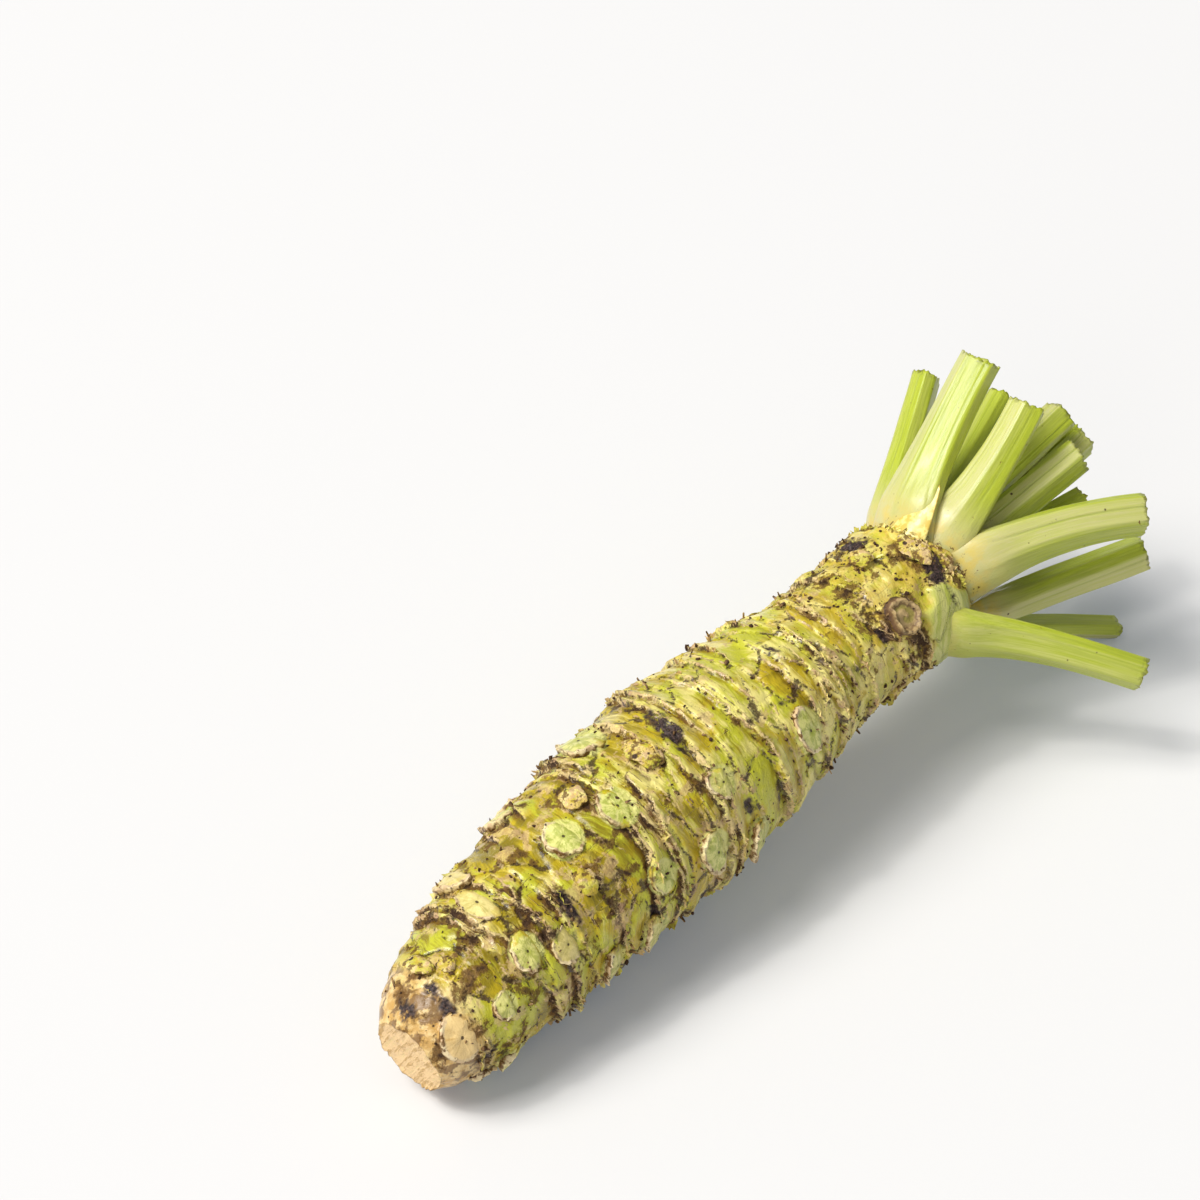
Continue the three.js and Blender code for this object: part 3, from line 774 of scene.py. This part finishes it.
def knob(sheet, spot, seed):
    """Adds a wrinkled knob, half sunk in the skin."""
    along, turn, across, length, lift = spot
    foot = stem_radius(np.float64(along), math.radians(turn)) + 0.2 * lift
    for vert in bmesh.ops.create_icosphere(sheet, subdivisions=4, radius=1.0)["verts"]:
        shape = vert.co.copy()
        wrinkle = 0.40 * noise.noise(shape * 1.2 + Vector((seed, 0, 0)))
        wrinkle -= 0.30 * abs(noise.noise(shape * 2.8 + Vector((0, seed, 0))))
        hollow = 0.55 * math.exp(-((shape.x + 0.1) ** 2 + shape.y ** 2) / 0.14) if shape.z > 0 else 0
        shape *= 1.12 + wrinkle - hollow
        angle = math.radians(turn) + 0.5 * across * shape.y / foot
        vert.co = Vector(settle(along + 0.5 * length * shape.x, foot + 0.62 * lift * shape.z, angle))


knobs = bmesh.new()
for number, spot in enumerate(KNOBS):
    knob(knobs, spot, 3.7 * number)
finished("dried_buds", knobs, knob_material(), True)

# The bud near the neck: the largest side bud, dried to a thick round lip about a
# hollow whose leaves are folded into a swirl.
BUD_ROWS = 30
BUD_SEED = 51
BUD_COLUMNS = 96
BUD_TAN = (0.48, 0.34, 0.15)
BUD_BROWN = (0.16, 0.085, 0.038)
BUD_OLIVE = (0.33, 0.27, 0.065)
BUD_DARK = (0.060, 0.032, 0.024)


def bud_material():
    material, start, surface = new_material("neck_bud", 0.5)
    place = grown_coordinates(start)
    radius = mark(start, "radius") + (lumps(place, 1.2, 3.0) - 0.5) * 0.22
    mottle = lumps(place, 1.1, 4.0, 0.65)
    fold = mark(start, "fold")
    heart = paint(BUD_OLIVE, BUD_TAN, (fold + mottle * 0.5).ease(0.45, 0.95))
    colour = paint(heart, BUD_BROWN, radius.ease(0.50, 0.62) * 0.8)
    colour = paint(colour, BUD_TAN, radius.ease(0.62, 0.70) * mottle.ease(0.62, 0.44))
    colour = paint(colour, BUD_BROWN, radius.ease(0.84, 0.92))
    colour = paint(colour, BUD_DARK, radius.ease(0.92, 1.02) * mottle.ease(0.35, 0.5))
    colour = paint(colour, CREVICE_BROWN, specks(place, 1.3, 0.12, 0.3, 0.35))
    link(colour, surface, "Base Color")
    relief = mottle * 0.7 + lumps(place, 0.4, 3.0) * 0.4
    roughen(relief, surface, 0.9, 0.0004)
    return material


draw = np.random.default_rng(BUD_SEED)
bud_mesh, row, column = wrapped_grid("neck_bud", BUD_ROWS, BUD_COLUMNS)
heading = np.linspace(0, TURN, BUD_COLUMNS + 1)
share_out = np.concatenate([np.linspace(0, 1.25, BUD_ROWS), [0.0]])[:, None]
sunk = np.concatenate([np.zeros(BUD_ROWS), [2.5]])[:, None]
outline = 1.0 + 0.11 * round_noise(draw, 9, heading) + 0.06 * round_noise(draw, 29, heading)
bud_along, bud_turn, bud_across, bud_length, bud_lift = BUD
here = bud_along + 0.5 * bud_length * share_out * outline * np.cos(heading)
bud_reach = 0.5 * bud_across * share_out * outline
there = math.radians(bud_turn) + bud_reach * np.sin(heading) / girth_at(bud_along)
fold = 0.5 + 0.5 * np.cos(heading + 8.0 * share_out)
lip_height = 0.95 + 0.5 * round_noise(draw, 13, heading)
profile = 0.38 * ease(share_out, 1.0, 0.9) + 0.62 * lip_height * np.exp(-((share_out - 0.78) / 0.15) ** 2)
profile = profile + 0.16 * fold * ease(share_out, 0.65, 0.4) - 0.7 * ease(share_out, 0.95, 1.25)
bud_out = stem_radius(here, there) + bud_lift * profile + 0.15 * surface_noise(here, there, 1.2, 7.7) - sunk
bud_points = settle(here, bud_out, there)
bud_marks = {
    "radius": np.broadcast_to(share_out, bud_out.shape)[row, column],
    "fold": np.broadcast_to(fold, bud_out.shape)[row, column],
}
bud = closed_piece(bud_mesh, bud_points[row, column], bud_marks, bud_material())
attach(bud, "root")


# The torn edges: dead leaf sheaths left thin, papery rims along the edges of the
# bands. They stand off the skin as short ragged frills, tan or pink where dry.
FRILLS = 620
FRILL_SEED = 21
COLLAR_FRILLS = 150
COLLAR_ALONG = 147.4
FRILL_STEPS = 8
FRILL_WALL = 0.14


def bare(along, turn):
    """Whether a place is on the smooth remains of an old leaf."""
    return any(oval(along, math.radians(turn), *spot)[0] < 1 for spot in OLD_LEAVES)


def frill(sheet, edge_along, start_turn, spread, height, lean, draw):
    """Adds one ragged strip, its foot in the skin and its torn edge standing free."""
    made = bmesh.ops.create_grid(sheet, x_segments=FRILL_STEPS, y_segments=2, size=0.5)["verts"]
    torn = draw.uniform(0.1, 1.0, FRILL_STEPS + 1)
    sway = draw.uniform(-0.4, 0.4, FRILL_STEPS + 1)
    for vert in made:
        step = round((vert.co.x + 0.5) * FRILL_STEPS)
        level = vert.co.y + 0.5
        share = step / FRILL_STEPS
        fade = math.sin(math.pi * share) ** 0.5 if 0 < step < FRILL_STEPS else 0.0
        turn = start_turn + spread * share
        along = np.interp(math.radians(turn) % TURN, column_angle, edge_along) + 0.3
        foot = skin_at(along, turn)
        rise = level * height * torn[step] * fade
        along += sway[step] * level - lean * rise
        vert.co = Vector(settle(along, foot - 0.4 * (1 - level) + rise - 0.05, math.radians(turn)))


def frill_material():
    material, start, surface = new_material("torn_edge", 0.65, 0.4)
    place = grown_coordinates(start)
    colour = paint(CORK_TAN, SKIN_PALE, lumps(place, 6.0).ease(0.40, 0.60))
    colour = paint(colour, CORK_PINK, lumps(place, 4.0).ease(0.5, 0.6) * 0.7)
    colour = paint(colour, SKIN_LIME, lumps(place, 9.0).ease(0.54, 0.60) * 0.7)
    colour = paint(colour, DIRT_AND_SHADE_BROWN, lumps(place, 1.5, 3.0).ease(0.54, 0.64) * 0.8)
    link(colour, surface, "Base Color")
    roughen(lumps(place, 0.4, 3.0), surface, 0.5, 0.0003)
    return material


draw = np.random.default_rng(FRILL_SEED)
frills = bmesh.new()
for i in range(FRILLS + COLLAR_FRILLS):
    band = bands[draw.integers(len(bands))]
    start_turn = draw.uniform(0, 360)
    spread = draw.uniform(5, 17)
    middle = math.radians(start_turn + 0.5 * spread) % TURN
    height = draw.uniform(0.40, 1.35) * (1 - 0.35 * ease(band["station"], 60, 90))
    lean = draw.uniform(-0.3, 0.8)
    edge = band["edge"]
    if i >= FRILLS:
        edge = COLLAR_ALONG + draw.uniform(-2.2, 0.9) + 0.5 * round_noise(draw, 17, column_angle)
        height, lean = draw.uniform(0.5, 1.5), draw.uniform(-1.2, 0.2)
    elif np.interp(middle, column_angle, band["rise"]) < 0.25 or not 4 < band["station"] < 146:
        continue
    if bare(np.interp(middle, column_angle, edge), math.degrees(middle)):
        continue
    strip = bmesh.new()
    frill(strip, edge, start_turn, spread, height, lean, draw)
    bmesh.ops.solidify(strip, geom=strip.faces[:], thickness=FRILL_WALL * MM)
    part = bpy.data.meshes.new("strip")
    strip.to_mesh(part)
    strip.free()
    frills.from_mesh(part)
    bpy.data.meshes.remove(part)
finished("torn_edges", frills, frill_material(), False)

# The soil: crumbs of dark volcanic grit and dried root skin, caught in the steps
# between the bands, round the scars and most of all on the neck.
CRUMBS = 3400
CRUMB_SEED = 31
SOIL_BROWN = (0.20, 0.11, 0.040)


def crumb(sheet, centre, size, draw):
    """Adds one angular grain."""
    made = bmesh.ops.create_icosphere(sheet, subdivisions=1, radius=size * MM)["verts"]
    squash = Vector(draw.uniform(0.45, 1.35, 3))
    turned = Matrix.Rotation(draw.uniform(0, TURN), 3, "X") @ Matrix.Rotation(draw.uniform(0, TURN), 3, "Z")
    for vert in made:
        vert.co = turned @ (vert.co * squash * draw.uniform(0.6, 1.4)) + Vector(centre)


def soil_material():
    material, start, surface = new_material("soil", 0.75, 0.4)
    place = grown_coordinates(start)
    colour = paint(CREVICE_BROWN, SOIL_BROWN, lumps(place, 2.0).ease(0.48, 0.64))
    link(colour, surface, "Base Color")
    roughen(lumps(place, 0.3, 3.0), surface, 0.6, 0.0003)
    return material


draw = np.random.default_rng(CRUMB_SEED)
crumbs = bmesh.new()
for i in range(CRUMBS):
    turn = draw.uniform(0, 360)
    if i % 5 == 0:
        along = draw.uniform(112, 148.5)
    elif i % 5 == 1:
        spot = (SCARS + KNOBS)[draw.integers(len(SCARS) + len(KNOBS))]
        heading_there = draw.uniform(0, TURN)
        along = spot[0] + 0.6 * spot[3] * math.cos(heading_there)
        turn = spot[1] + math.degrees(0.57 * spot[2] * math.sin(heading_there) / girth_at(spot[0]))
    else:
        band = bands[draw.integers(len(bands))]
        along = np.interp(math.radians(turn), column_angle, band["edge"]) - abs(draw.normal(0.0, 0.8))
    size = 0.09 + 0.40 * draw.uniform() ** 4.5
    if 1.0 < along < 149 and not bare(along, turn):
        centre = settle(along, skin_at(along, turn) + 0.15 * size, math.radians(turn))
        crumb(crumbs, centre, size, draw)
finished("soil_crumbs", crumbs, soil_material(), False)

# The root stubs: hair roots torn off short, thin and brown, that bristle from the
# band edges all round the stem.
STUBS = 260
STUB_SEED = 41
STUB_SIDES = 6
ROOT_TAN = (0.40, 0.25, 0.10)
ROOT_BROWN = (0.08, 0.038, 0.018)


def stub_material():
    material, start, surface = new_material("root_stub", 0.7, 0.4)
    place = grown_coordinates(start)
    colour = paint(ROOT_TAN, ROOT_BROWN, lumps(place, 1.2).ease(0.4, 0.6))
    link(colour, surface, "Base Color")
    return material


draw = np.random.default_rng(STUB_SEED)
stubs = bmesh.new()
for i in range(STUBS):
    band = bands[draw.integers(len(bands))]
    turn = draw.uniform(0, 360)
    along = np.interp(math.radians(turn), column_angle, band["edge"]) - 0.3
    length = draw.uniform(0.4, 1.3)
    width = draw.uniform(0.16, 0.36)
    bend = draw.uniform(-0.6, 0.6)
    swing = draw.uniform(-4, 4)
    if not 3 < along < 146:
        continue
    out = skin_at(along, turn)
    made = bmesh.ops.create_cone(
        stubs, cap_ends=True, segments=STUB_SIDES, radius1=1.0, radius2=0.6, depth=1.0,
    )["verts"]
    for vert in made:
        share = vert.co.z + 0.5
        centre_turn = turn + swing * share + math.degrees(vert.co.x * width / out)
        centre_along = along + bend * share * length + vert.co.y * width
        reach = out - 0.3 + (length + 0.3) * share * draw.uniform(0.8, 1.1)
        vert.co = Vector(settle(centre_along, reach, math.radians(centre_turn)))
finished("root_stubs", stubs, stub_material(), False)

# The leaf stalks: seventeen, cut off three to five centimetres above the crown. Each
# is an angular, ribbed stem that broadens at its foot into a sheath round the neck.
# Its cut end shows a pale spongy heart in a ring of dark vessels.

# The foot of each and its tip, both along, out and angle in degrees, and its widths.
STALKS = [
    ((146.5, 12.0, -21), (182, 33.5, -13.5), (19, 9.6)), ((149.5, 12.0, 58), (187.5, 28.5, 80), (15, 9.2)),
    ((139.0, 13.0, 95), (165.5, 46, 107), (17, 7.6)), ((149.5, 11.6, 18), (182, 26.5, 8), (14.5, 7.6)),
    ((147.5, 11.8, -60), (183, 29.5, -52), (13, 7.6)), ((145, 12.4, 160), (191.5, 42.5, 153), (12, 6.2)),
    ((145, 12.4, 206), (187, 40.5, 205), (13.5, 7.6)), ((147, 12.0, 252), (183, 30, 255), (13.5, 8.0)),
    ((153, 6.6, 46), (188, 17, 45), (8, 7.4)), ((150, 12.2, 130), (191, 28.5, 110), (10.5, 9.2)),
    ((153, 6.8, -44), (192, 17, -41), (7.5, 6.2)), ((153.5, 6.6, -2), (196.5, 11.3, 7), (7.6, 7.6)),
    ((153, 6.6, 168), (195, 11.5, 136), (7, 6.0)), ((153, 6.8, 214), (193, 19, 206), (8, 7.0)),
    ((153, 6.8, 266), (192, 18, 266), (8, 7.2)), ((156, 1.8, 80), (200, 5.2, 62), (5.2, 6.4)),
    ((156, 2.6, 246), (202, 3.6, 8), (5, 5.4)),
]
KNEE_ALONG = 0.5
KNEE_OUT = 0.42
HUG = 0.15
LOWEST_HUG = 0.75
FLARE_POWER = 2.6
STALK_THICKNESS = 0.78
SHEATH_THICKNESS = 6.2
STALK_COLUMNS = 120
STALK_ROWS = 64
CAP_ROWS = 12
FOOT_ROWS = 3
FACET_SHARPNESS = 24
LOWEST_STALK = 3
STALK_SEED = 100


def spoke(along, out, turn):
    angle = math.radians(turn)
    return np.array([along, -out * math.sin(angle), out * math.cos(angle)])


def unit(vectors):
    return vectors / np.linalg.norm(vectors, axis=-1, keepdims=True)


def stalk_outline(angle, draw):
    """The ribbed outline of a stalk, close to 1 all round, where its lines run and
    how far each place belongs to its upper left facet."""
    facets = [(90 - 36, 0.91), (90 + 36, 0.91), (0, 0.97), (180, 0.97), (232, 0.90), (308, 0.90)]
    total = np.zeros_like(angle)
    left = np.zeros_like(angle)
    for normal, distance in facets:
        facing = np.cos(angle - math.radians(normal + draw.uniform(-7, 7)))
        weight = np.clip(facing / (distance + draw.uniform(-0.02, 0.02)), 0, None) ** FACET_SHARPNESS
        total = total + weight
        left = left + weight * (90 < normal < 150)
    outline = total ** (-1 / FACET_SHARPNESS)
    lines = np.zeros_like(angle)
    for centre in (90 + draw.uniform(-4, 4), 90 + draw.uniform(30, 55), 90 - draw.uniform(30, 55)):
        off = wrap(angle - math.radians(centre))
        depth = draw.uniform(0.3, 1.0)
        outline = outline - 0.030 * depth * np.exp(-(off / 0.05) ** 2)
        outline = outline + 0.018 * depth * np.exp(-((np.abs(off) - 0.10) / 0.05) ** 2)
        lines = np.maximum(lines, depth * np.exp(-(off / 0.05) ** 2))
    outline = outline + 0.003 * round_noise(draw, 31, angle)
    return outline, lines, left / total


STALK_CREAM = (0.63, 0.59, 0.29)
STALK_PALE = (0.56, 0.57, 0.18)
STALK_GREEN = (0.45, 0.52, 0.035)
STALK_DEEP = (0.27, 0.34, 0.010)
FOOT_CREAM = (0.61, 0.55, 0.26)
FOOT_YELLOW = (0.68, 0.53, 0.12)
PITH = (0.78, 0.80, 0.46)
VESSEL = (0.10, 0.10, 0.03)
BRUISE_GREEN = (0.16, 0.17, 0.03)


def stalk_material():
    material, start, surface = new_material("leaf_stalk", 0.38, 0.45, 0.2)
    surface.inputs["Subsurface Weight"].default_value = 0.2
    surface.inputs["Subsurface Radius"].default_value = (1.0, 0.9, 0.2)
    surface.inputs["Subsurface Scale"].default_value = 0.003
    place = grown_coordinates(start)
    share = mark(start, "share")
    section = start.node(
        "ShaderNodeCombineXYZ", {},
        {0: mark(start, "section_x"), 1: mark(start, "section_y"), 2: share * 1.6},
    )
    threads = lumps(section, 0.32, 3.0, 0.6)
    stripes = lumps(section, 2.2, 2.0)
    mottle = lumps(place, 3.0, 3.0)
    fine = lumps(place, 0.35, 2.0)

    painted_lit_facet = mark(start, "painted_lit_facet")
    # Painted light: each stalk's upper left facet is painted paler and creamier, as if lit, and its other
    # facets deeper green, as if shaded.
    colour = paint(STALK_GREEN, STALK_PALE, (painted_lit_facet * 0.85 + (stripes.ease(0.42, 0.68) - 0.3) * 0.5).clamp())
    colour = paint(colour, STALK_CREAM, (painted_lit_facet * threads.ease(0.42, 0.66) * 0.5).clamp())
    colour = paint(colour, STALK_DEEP, (1 - painted_lit_facet) * threads.ease(0.56, 0.40) * 0.35)
    colour = paint(colour, STALK_DEEP, mark(start, "line") * 0.6)
    creamed = mark(start, "creamed")
    colour = paint(colour, FOOT_CREAM, share.ease(0.50, 0.05) * creamed * 0.75)
    yellow = (share + (threads - 0.5) * 0.15).ease(0.26, 0.06) * mottle.ease(0.35, 0.6)
    colour = paint(colour, FOOT_YELLOW, yellow * creamed * 0.9)
    dirt = lumps(place, 1.6, 5.0, 0.65) + share.ease(0.16, 0.0) * 0.13
    colour = paint(colour, DIRT_AND_SHADE_BROWN, dirt.ease(0.68, 0.73))
    foot_dots = specks(place, 2.2, 0.1, 0.32, 0.45) * share.ease(0.3, 0.08)
    dots = specks(place, 4.2, 0.10, 0.30, 0.3).either(foot_dots)
    colour = paint(colour, CREVICE_BROWN, dots)
    bruise = mark(start, "rim") * lumps(place, 0.9).ease(0.5, 0.62)
    colour = paint(colour, BRUISE_GREEN, bruise * 0.85)

    cap = mark(start, "cap")
    cap_radius = mark(start, "cap_radius")
    ring = cap_radius.ease(0.60, 0.72) * cap_radius.ease(0.92, 0.82)
    face = paint(PITH, STALK_PALE, cap_radius.ease(0.3, 0.9))
    face = paint(face, STALK_GREEN, cap_radius.ease(0.86, 0.97) * 0.8)
    face = paint(face, VESSEL, ring * specks(place, 1.35, 0.22, 0.42, 0.6))
    colour = paint(colour, face, cap)
    link(colour, surface, "Base Color")
    rough = 0.33 + fine * 0.12 + cap * 0.25 + dots * 0.2
    link(rough.clamp(), surface, "Roughness")
    relief = threads * 0.5 + fine * 0.12 + mottle * 0.2
    roughen(relief, surface, 0.5, 0.0003)
    return material


stalk_finish = stalk_material()


def leaf_stalk(number, foot, tip, widths):
    """Makes one stalk, from its sheathing foot over its knee to its cut end."""
    name = f"leaf_stalk_{number:02d}"
    draw = np.random.default_rng(STALK_SEED + number)
    knee_along = foot[0] + (tip[0] - foot[0]) * KNEE_ALONG
    knee_out = foot[1] + (tip[1] - foot[1]) * KNEE_OUT
    hug = LOWEST_HUG if number == LOWEST_STALK else HUG
    lead_out = foot[1] + (knee_out - foot[1]) * (1 - hug) * 2 / 3
    points = [
        spoke(*foot), spoke((foot[0] + 2 * knee_along) / 3, lead_out, foot[2]),
        (spoke(*tip) + 2 * spoke(knee_along, knee_out, foot[2])) / 3, spoke(*tip),
    ]

    body = np.linspace(0, 1, STALK_ROWS + 1)
    share = np.concatenate([np.zeros(FOOT_ROWS), body, np.ones(CAP_ROWS)])
    size = np.concatenate([
        np.linspace(0, 0.97, FOOT_ROWS), np.ones(STALK_ROWS + 1), np.linspace(0.965, 0, CAP_ROWS),
    ])
    t = share[:, None]
    shares = [(1 - t) ** 3, 3 * t * (1 - t) ** 2, 3 * t ** 2 * (1 - t), t ** 3]
    path = sum(weight * point for weight, point in zip(shares, points))
    slopes = [(1 - t) ** 2, 2 * t * (1 - t), t ** 2]
    forward = unit(sum(slope * (b - a) for slope, a, b in zip(slopes, points, points[1:])))
    turn = np.radians(foot[2] + (tip[2] - foot[2]) * share)
    outward = np.stack([0 * turn, -np.sin(turn), np.cos(turn)], -1)
    across = unit(np.cross(forward, outward))
    thick = np.cross(across, forward)
    flare = (1 - share) ** FLARE_POWER
    half_width = 0.5 * (widths[1] + (widths[0] - widths[1]) * flare)
    tip_half = 0.5 * STALK_THICKNESS * widths[1]
    foot_half = 0.5 * min(SHEATH_THICKNESS, widths[0] * STALK_THICKNESS)
    half_thick = (tip_half + (foot_half - tip_half) * flare) * (1 - 0.6 * ease(share, 0.25, 0.0))

    angle = np.linspace(-0.5 * math.pi, 1.5 * math.pi, STALK_COLUMNS + 1)
    outline, lines, left = stalk_outline(angle, draw)
    boxy = (np.abs(np.cos(angle)) ** 5 + np.abs(np.sin(angle)) ** 5) ** (-1 / 5)
    sheathing = ease(share, 0.42, 0.04)[:, None]
    radius = outline * (1 - sheathing) + boxy * sheathing
    wander = 1 + 0.025 * np.array([
        [noise.noise((3 * math.cos(a), 3 * math.sin(a), 4 * s + 7 * number)) for a in angle] for s in share
    ])
    section_x = half_width[:, None] * radius * wander * np.cos(angle) * size[:, None]
    section_y = half_thick[:, None] * radius * wander * np.sin(angle) * size[:, None]

    ragged = 0.30 * round_noise(draw, 40, angle) + 0.25 * round_noise(draw, 13, angle)
    near_rim = np.exp(-((1 - size) / 0.10) ** 2) * (share > 0.999)
    sunk = 0.7 * (1 - size ** 3) * (share > 0.999)
    slant_x, slant_y = draw.uniform(-0.12, 0.12, 2)
    onward = ragged * near_rim[:, None] - sunk[:, None]
    onward = onward + (section_x * slant_x + section_y * slant_y) * ease(share, 0.8, 1.0)[:, None]

    straight = path[:, None] + across[:, None] * section_x[..., None]
    straight = straight + thick[:, None] * section_y[..., None] + forward[:, None] * onward[..., None]
    centre = path[:, None] + thick[:, None] * section_y[..., None]
    centre_out = np.hypot(centre[..., 1], centre[..., 2])
    centre_turn = np.arctan2(-centre[..., 1], centre[..., 2]) + section_x / np.maximum(centre_out, 4)
    skirt = centre[..., 0] + 2.0 * (section_x / half_width[:, None]) ** 2 * sheathing
    wrapped = np.stack([skirt, -centre_out * np.sin(centre_turn), centre_out * np.cos(centre_turn)], -1)
    points = straight * (1 - sheathing[..., None]) + wrapped * sheathing[..., None]
    points = lay(points[..., 0], points[..., 1], points[..., 2])

    grid = (len(share), STALK_COLUMNS + 1)
    # Painted light: how far each place lies on the upper left facet, which the material paints as lit;
    # weaker on the lowest stalk.
    painted_lit_share = left if number != LOWEST_STALK else 0.3 * left
    marks = {
        "share": np.broadcast_to(t, grid), "section_x": section_x, "section_y": section_y,
        "line": np.broadcast_to(lines, grid) * ease(share, 0.1, 0.35)[:, None],
        "painted_lit_facet": np.broadcast_to(painted_lit_share, grid),
        "creamed": np.full(grid, 0.3 if number == LOWEST_STALK else 1.0),
        "rim": np.broadcast_to(np.exp(-((1 - share) / 0.02) ** 2)[:, None], grid),
        "cap": np.broadcast_to(((share > 0.999) & (size < 0.99))[:, None] * 1.0, grid),
        "cap_radius": np.broadcast_to(size[:, None], grid),
    }
    stalk_mesh, row, column = wrapped_grid(name + "_skin", len(share) - 1, STALK_COLUMNS)
    values = {key: value[row, column] for key, value in marks.items()}
    stalk = closed_piece(stalk_mesh, points[row, column], values, stalk_finish)
    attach(stalk, "root")
    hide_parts(name)


for number, (foot, tip, widths) in enumerate(STALKS, 1):
    leaf_stalk(number, foot, tip, widths)

# The scale leaf: one short, pointed, yellow leaf base between the two upper stalks,
# a thin curved sheet that tapers from its foot in the neck to a free tip.
SCALE_STEPS = 20
SCALE_FOOT = (146.8, 14.3, -2.0)
SCALE_TIP = (158.5, 19.6, -1.0)
SCALE_WIDTH = 8.5
SCALE_WALL = 0.7
scale_sheet = bmesh.new()
bmesh.ops.create_grid(scale_sheet, x_segments=SCALE_STEPS, y_segments=SCALE_STEPS, size=0.5)
for vert in scale_sheet.verts:
    share = vert.co.x + 0.5
    half = 0.5 * SCALE_WIDTH * (1 - share) ** 0.75
    sideways = 2 * vert.co.y * half
    foot_along, foot_out, foot_turn = SCALE_FOOT
    along = foot_along + (SCALE_TIP[0] - foot_along) * share
    out = foot_out + (SCALE_TIP[1] - foot_out) * share - 0.05 * sideways ** 2
    turn = math.radians(foot_turn + (SCALE_TIP[2] - foot_turn) * share) + sideways / out
    vert.co = Vector(settle(along, out, turn))
bmesh.ops.remove_doubles(scale_sheet, verts=scale_sheet.verts, dist=1e-5)
bmesh.ops.solidify(scale_sheet, geom=scale_sheet.faces[:], thickness=SCALE_WALL * MM)
material, start, surface = new_material("scale_leaf", 0.35, 0.45, 0.2)
place = grown_coordinates(start)
colour = paint(SKIN_YELLOW, SKIN_PALE, lumps(place, 1.4, 3.0).ease(0.42, 0.62))
colour = paint(colour, DIRT_AND_SHADE_BROWN, lumps(place, 1.2, 4.0, 0.6).ease(0.66, 0.72))
link(colour, surface, "Base Color")
finished("scale_leaf", scale_sheet, material, True)

# The surface it lies on, plain and pale, which keeps the plant's soft shadow and
# runs out to white.
FLOOR_SIZE = 6.0
FLOOR_GREY = (0.705, 0.690, 0.675)
FLOOR_GLOW = (0.066, 0.085, 0.112)
floor_sheet = bmesh.new()
bmesh.ops.create_grid(floor_sheet, x_segments=1, y_segments=1, size=0.5 * FLOOR_SIZE)
floor_mesh = bpy.data.meshes.new("floor")
floor_sheet.to_mesh(floor_mesh)
floor_sheet.free()
floor = bpy.data.objects.new("floor", floor_mesh)
bpy.context.scene.collection.objects.link(floor)
material, start, surface = new_material("floor", 0.9, 0.1)
surface.inputs["Base Color"].default_value = (*FLOOR_GREY, 1)
surface.inputs["Emission Strength"].default_value = 1.0
camera_ray = start.node("ShaderNodeLightPath", {}, {}, "Is Camera Ray")
glossy_ray = start.node("ShaderNodeLightPath", {}, {}, "Is Glossy Ray")
clear_ray = start.node("ShaderNodeLightPath", {}, {}, "Is Transmission Ray")
seen = camera_ray.either(glossy_ray).either(clear_ray)
link(paint((0.0, 0.0, 0.0), FLOOR_GLOW, seen.clamp()), surface, "Emission Color")
floor_mesh.materials.append(material)

# Soft daylight from a large window at the upper left, with pale surroundings.
ROOM_LIGHT = 0.28
WINDOW_DISTANCE = 12.0
WINDOW_SIDE = (-0.46, 0.30, 0.82)
FILL_SIDE = (-0.9, -0.35, 0.35)
DAYLIGHT = (1.0, 0.985, 0.955)
PALE_LIGHT = (1.0, 0.99, 0.98)
world = bpy.data.worlds.new("pale_room")
bpy.context.scene.world = world
world.use_nodes = True
world.node_tree.nodes["Background"].inputs["Color"].default_value = (1.0, 1.0, 1.0, 1)
world.node_tree.nodes["Background"].inputs["Strength"].default_value = ROOM_LIGHT


def window(name, direction, size, power, colour):
    """Hangs a square lamp that faces the plant from that side."""
    lamp = bpy.data.lights.new(name, "AREA")
    lamp.size = size
    lamp.energy = power
    lamp.color = colour
    item = bpy.data.objects.new(name, lamp)
    item.location = Vector(direction).normalized() * WINDOW_DISTANCE
    item.rotation_euler = Vector(direction).to_track_quat("Z", "Y").to_euler()
    bpy.context.scene.collection.objects.link(item)


window("window", WINDOW_SIDE, 6.3, 1490.0, DAYLIGHT)
window("glint", WINDOW_SIDE, 1.1, 270.0, DAYLIGHT)
window("fill", FILL_SIDE, 6.4, 224.0, PALE_LIGHT)

# The camera looks down on the plant from beside its cut tip.
VIEW_AZIMUTH = math.radians(-47.97)
VIEW_ELEVATION = math.radians(40.448)
VIEW_DISTANCE = 0.7241
AIM = Vector((0.0298, 0.0770, 0.0))
FOCAL_LENGTH = 100
SENSOR_WIDTH = 36
back = Vector((
    math.sin(VIEW_AZIMUTH) * math.cos(VIEW_ELEVATION),
    -math.cos(VIEW_AZIMUTH) * math.cos(VIEW_ELEVATION),
    math.sin(VIEW_ELEVATION),
))
lens = bpy.data.cameras.new("camera")
lens.lens = FOCAL_LENGTH
lens.sensor_width = SENSOR_WIDTH
lens.clip_start = 0.01
camera = bpy.data.objects.new("camera", lens)
camera.location = AIM + back * VIEW_DISTANCE
camera.rotation_euler = back.to_track_quat("Z", "Y").to_euler()
bpy.context.scene.collection.objects.link(camera)
bpy.context.scene.camera = camera
bpy.context.scene.view_settings.view_transform = "Standard"
